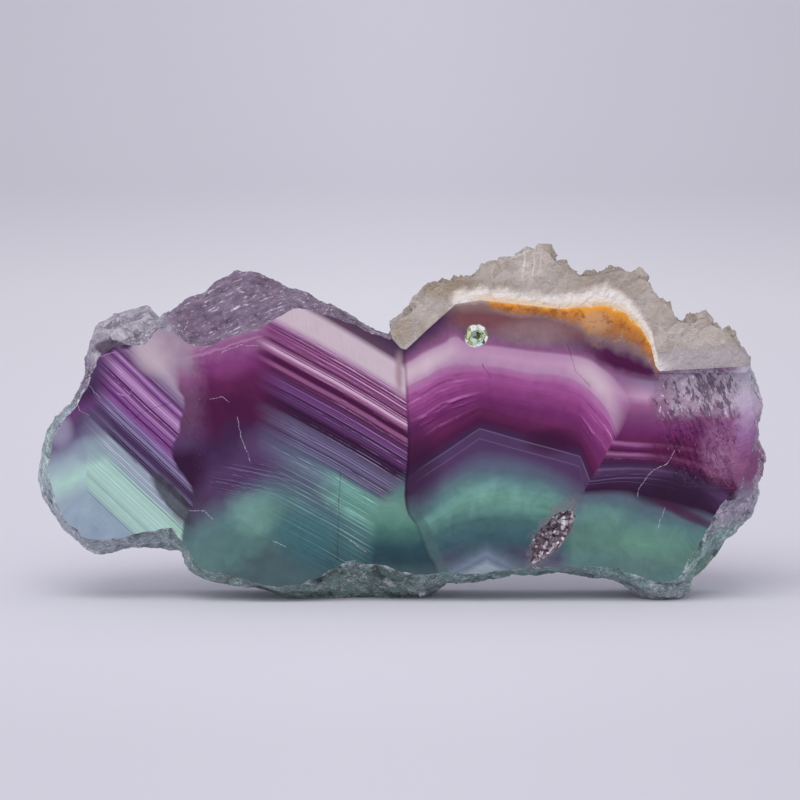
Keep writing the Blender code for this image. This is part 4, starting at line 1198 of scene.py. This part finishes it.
class QuartzSettings(bpy.types.PropertyGroup):
    """The quartz crust's surface."""

    facet_edge: bpy.props.FloatProperty(
        name="Facet edge",
        description="Longest edge of the crust's mesh",
        default=0.5 * MM,
        unit="LENGTH",
    )
    relief: bpy.props.FloatProperty(
        name="Relief",
        description="How strongly the crust's rounded crystals stand out",
        default=1.0,
    )


class StageSettings(bpy.types.PropertyGroup):
    """Floor, light and camera."""

    camera_elevation: bpy.props.FloatProperty(
        name="Camera elevation",
        description="How far the camera stands above the horizon",
        default=math.radians(6.0),
        subtype="ANGLE",
        unit="ROTATION",
    )
    camera_distance: bpy.props.FloatProperty(
        name="Camera distance",
        description="From the camera to the middle of the front face",
        default=0.9,
        unit="LENGTH",
    )
    floor_colour: bpy.props.FloatVectorProperty(
        name="Floor colour",
        description="Colour of the floor and the backdrop",
        default=linear("#ffffff")[:3],
        subtype="COLOR",
        size=3,
    )


# ---------------------------------------------------------------- operators


class DressFluorite(bpy.types.Operator):
    """Makes the fluorite slab's fine surface and gives it its growth bands."""

    bl_idname = "fluorite.dress_slab"
    bl_label = "Dress fluorite slab"

    def execute(self, context):
        settings = context.scene.fluorite_slab
        noise.seed_set(SLOPES_SEED)
        bm = merged_copy("fluorite_slab")
        drop_caps(bm)
        split_long_edges(bm, settings.facet_edge / MM)
        inner = [
            v for v in bm.verts if not v.is_boundary and not in_crystals(v.co) and v.co.z > STAND_Z
        ]
        for _ in range(SMOOTHINGS):
            bmesh.ops.smooth_vert(
                bm, verts=inner, factor=0.5, use_axis_x=True, use_axis_y=True, use_axis_z=True
            )
        move_out(bm, lambda point: slab_relief(point) * settings.relief, SLAB_TALLEST)
        for face in bm.faces:
            face.smooth = True
            face.material_index = int(on_missed_face(face))
        for face in fill_caps(bm):
            face.material_index = 1
            face.smooth = False
        materials = [broken_material(), sawn_material()]
        piece_from(bm, "banded_slab", materials, "fluorite_slab")
        return {"FINISHED"}


class DressQuartz(bpy.types.Operator):
    """Makes the quartz crust's fine surface and its small points."""

    bl_idname = "fluorite.dress_quartz"
    bl_label = "Dress quartz crust"

    def execute(self, context):
        settings = context.scene.fluorite_quartz
        bm = merged_copy("quartz_crust")
        drop_caps(bm)
        split_long_edges(bm, settings.facet_edge / MM)
        close_contact(bm)
        move_out(bm, lambda point: quartz_relief(point) * settings.relief, QUARTZ_TALLEST)
        for face in bm.faces:
            face.smooth = True
        for face in fill_caps(bm):
            face.smooth = False
        piece_from(bm, "quartz_druse", [quartz_material()], "quartz_crust")
        return {"FINISHED"}


# The stage, in metres: the sweep's floor runs back to its start, curves up and stands on to its top.
FLOOR_HALF, SWEEP_START, SWEEP_RADIUS, SWEEP_TOP = 2.0, 0.9, 0.5, 2.4
SWEEP_STEPS = 24
TARGET = Vector((-0.15, -8.0, 30.8)) * MM
LENS, SENSOR = 270.0, 36.0
SKY, SKY_STRENGTH = "#dcdbe6", 0.84
LIGHTS_AIM = (0, 0, 0.03)
LIGHTS = [  # name, place, size, power and colour
    ("key", (-0.15, -0.7, 0.9), (0.9, 0.7), 5.5, "#fffdfb"),
    ("fill", (-0.9, -0.4, 0.35), (0.5, 0.5), 1.5, "#f4f6ff"),
]
# The sweep's painted light and shade by the distance behind the slice, in millimetres.
SWEEP_PAINTED_LIGHT = [
    (-300, "#cfced6"), (-139, "#d8d7de"), (-55, "#e2e1e8"), (120, "#eae9ef"), (290, "#f3f2f6"),
    (510, "#fafafb"), (900, "#f2f1f5"), (1370, "#e9e7ef"),
]


def floor_material(colour):
    """The sweep with painted light: brightest behind the slice, with painted shade towards the viewer, the
    top and the sides.
    """
    paint = Paint("matt_backdrop")
    far = paint.ramp(paint.y, SWEEP_PAINTED_LIGHT)
    side = abs(paint.x).over(10.0, 130.0)
    shade = paint.mix(1.0, (*colour, 1.0), paint.tone(far, 1.0 - side * 0.1), "MULTIPLY")
    return paint.finish(paint.principled(shade, 0.9, Specular_IOR_Level=0.1))


def area_light(name, place, size, power, colour):
    """A rectangular light that shines on the slice."""
    light = bpy.data.lights.new(name, "AREA")
    light.shape = "RECTANGLE"
    light.size, light.size_y = size
    light.energy = power
    light.color = linear(colour)[:3]
    lamp = bpy.data.objects.new(name, light)
    lamp.location = place
    lamp.rotation_euler = (Vector(LIGHTS_AIM) - Vector(place)).to_track_quat("-Z", "Y").to_euler()
    bpy.context.scene.collection.objects.link(lamp)


def pulled(bm, edges, way):
    """Pulls a row of edges out into new faces."""
    moved = bmesh.ops.extrude_edge_only(bm, edges=edges)["geom"]
    verts = [item for item in moved if isinstance(item, bmesh.types.BMVert)]
    bmesh.ops.translate(bm, verts=verts, vec=way)
    return [item for item in moved if isinstance(item, bmesh.types.BMEdge)]


def sweep(colour):
    """The floor, which curves up into the backdrop."""
    bm = bmesh.new()
    near = [bm.verts.new((side * FLOOR_HALF, -FLOOR_HALF, 0)) for side in (-1, 1)]
    edges = pulled(bm, [bm.edges.new(near)], (0, FLOOR_HALF + SWEEP_START, 0))
    bmesh.ops.spin(
        bm,
        geom=edges,
        cent=(0, SWEEP_START, SWEEP_RADIUS),
        axis=(1, 0, 0),
        angle=math.pi / 2,
        steps=SWEEP_STEPS,
    )
    bm.edges.ensure_lookup_table()
    far = [e for e in bm.edges if all(v.co.y > SWEEP_START + SWEEP_RADIUS - 1e-4 for v in e.verts)]
    pulled(bm, far, (0, 0, SWEEP_TOP))
    bmesh.ops.recalc_face_normals(bm, faces=bm.faces)
    mesh = bpy.data.meshes.new("sweep")
    bm.to_mesh(mesh)
    bm.free()
    mesh.shade_smooth()
    mesh.materials.append(floor_material(colour))
    return bpy.data.objects.new("sweep", mesh)


class BuildStage(bpy.types.Operator):
    """Builds the floor with its curved backdrop, the lights and the camera."""

    bl_idname = "fluorite.build_stage"
    bl_label = "Build stage"

    def execute(self, context):
        settings = context.scene.fluorite_stage
        floor = sweep(settings.floor_colour)
        context.scene.collection.objects.link(floor)

        world = bpy.data.worlds.new("studio")
        world.use_nodes = True
        sky = world.node_tree.nodes["Background"].inputs
        sky["Color"].default_value = linear(SKY)
        sky["Strength"].default_value = SKY_STRENGTH
        context.scene.world = world
        for light in LIGHTS:
            area_light(*light)

        camera = bpy.data.cameras.new("camera")
        camera.lens = LENS
        camera.sensor_width = SENSOR
        camera.clip_start = 0.05
        seen = bpy.data.objects.new("camera", camera)
        lift, reach = settings.camera_elevation, settings.camera_distance
        back = Vector((0, -math.cos(lift), math.sin(lift)))
        seen.location = TARGET + back * reach
        seen.rotation_euler = (-back).to_track_quat("-Z", "Y").to_euler()
        context.scene.collection.objects.link(seen)
        context.scene.camera = seen
        context.scene.view_settings.view_transform = "Standard"
        return {"FINISHED"}


class FluoritePanel(bpy.types.Panel):
    """The slice's settings and steps."""

    bl_label = "Fluorite slice"
    bl_idname = "VIEW3D_PT_fluorite_slice"
    bl_space_type = "VIEW_3D"
    bl_region_type = "UI"
    bl_category = "Fluorite"

    def draw(self, context):
        layout = self.layout
        for name, group in SETTINGS.items():
            for setting in group.__annotations__:
                layout.prop(getattr(context.scene, name), setting)
        for step in STEPS:
            layout.operator(step.bl_idname)


STEPS = [DressFluorite, DressQuartz, BuildStage]
SETTINGS = {
    "fluorite_slab": SlabSettings,
    "fluorite_quartz": QuartzSettings,
    "fluorite_stage": StageSettings,
}
CLASSES = [*SETTINGS.values(), *STEPS, FluoritePanel]


def register():
    for cls in CLASSES:
        bpy.utils.register_class(cls)
    for name, group in SETTINGS.items():
        setattr(bpy.types.Scene, name, bpy.props.PointerProperty(type=group))


def unregister():
    for name in SETTINGS:
        delattr(bpy.types.Scene, name)
    for cls in reversed(CLASSES):
        bpy.utils.unregister_class(cls)


def main():
    register()
    for old in [o for o in bpy.data.objects if o.type in ("CAMERA", "LIGHT")]:
        bpy.data.objects.remove(old)
    for step in STEPS:
        group, name = step.bl_idname.split(".")
        getattr(getattr(bpy.ops, group), name)()


if __name__ == "__main__":
    main()
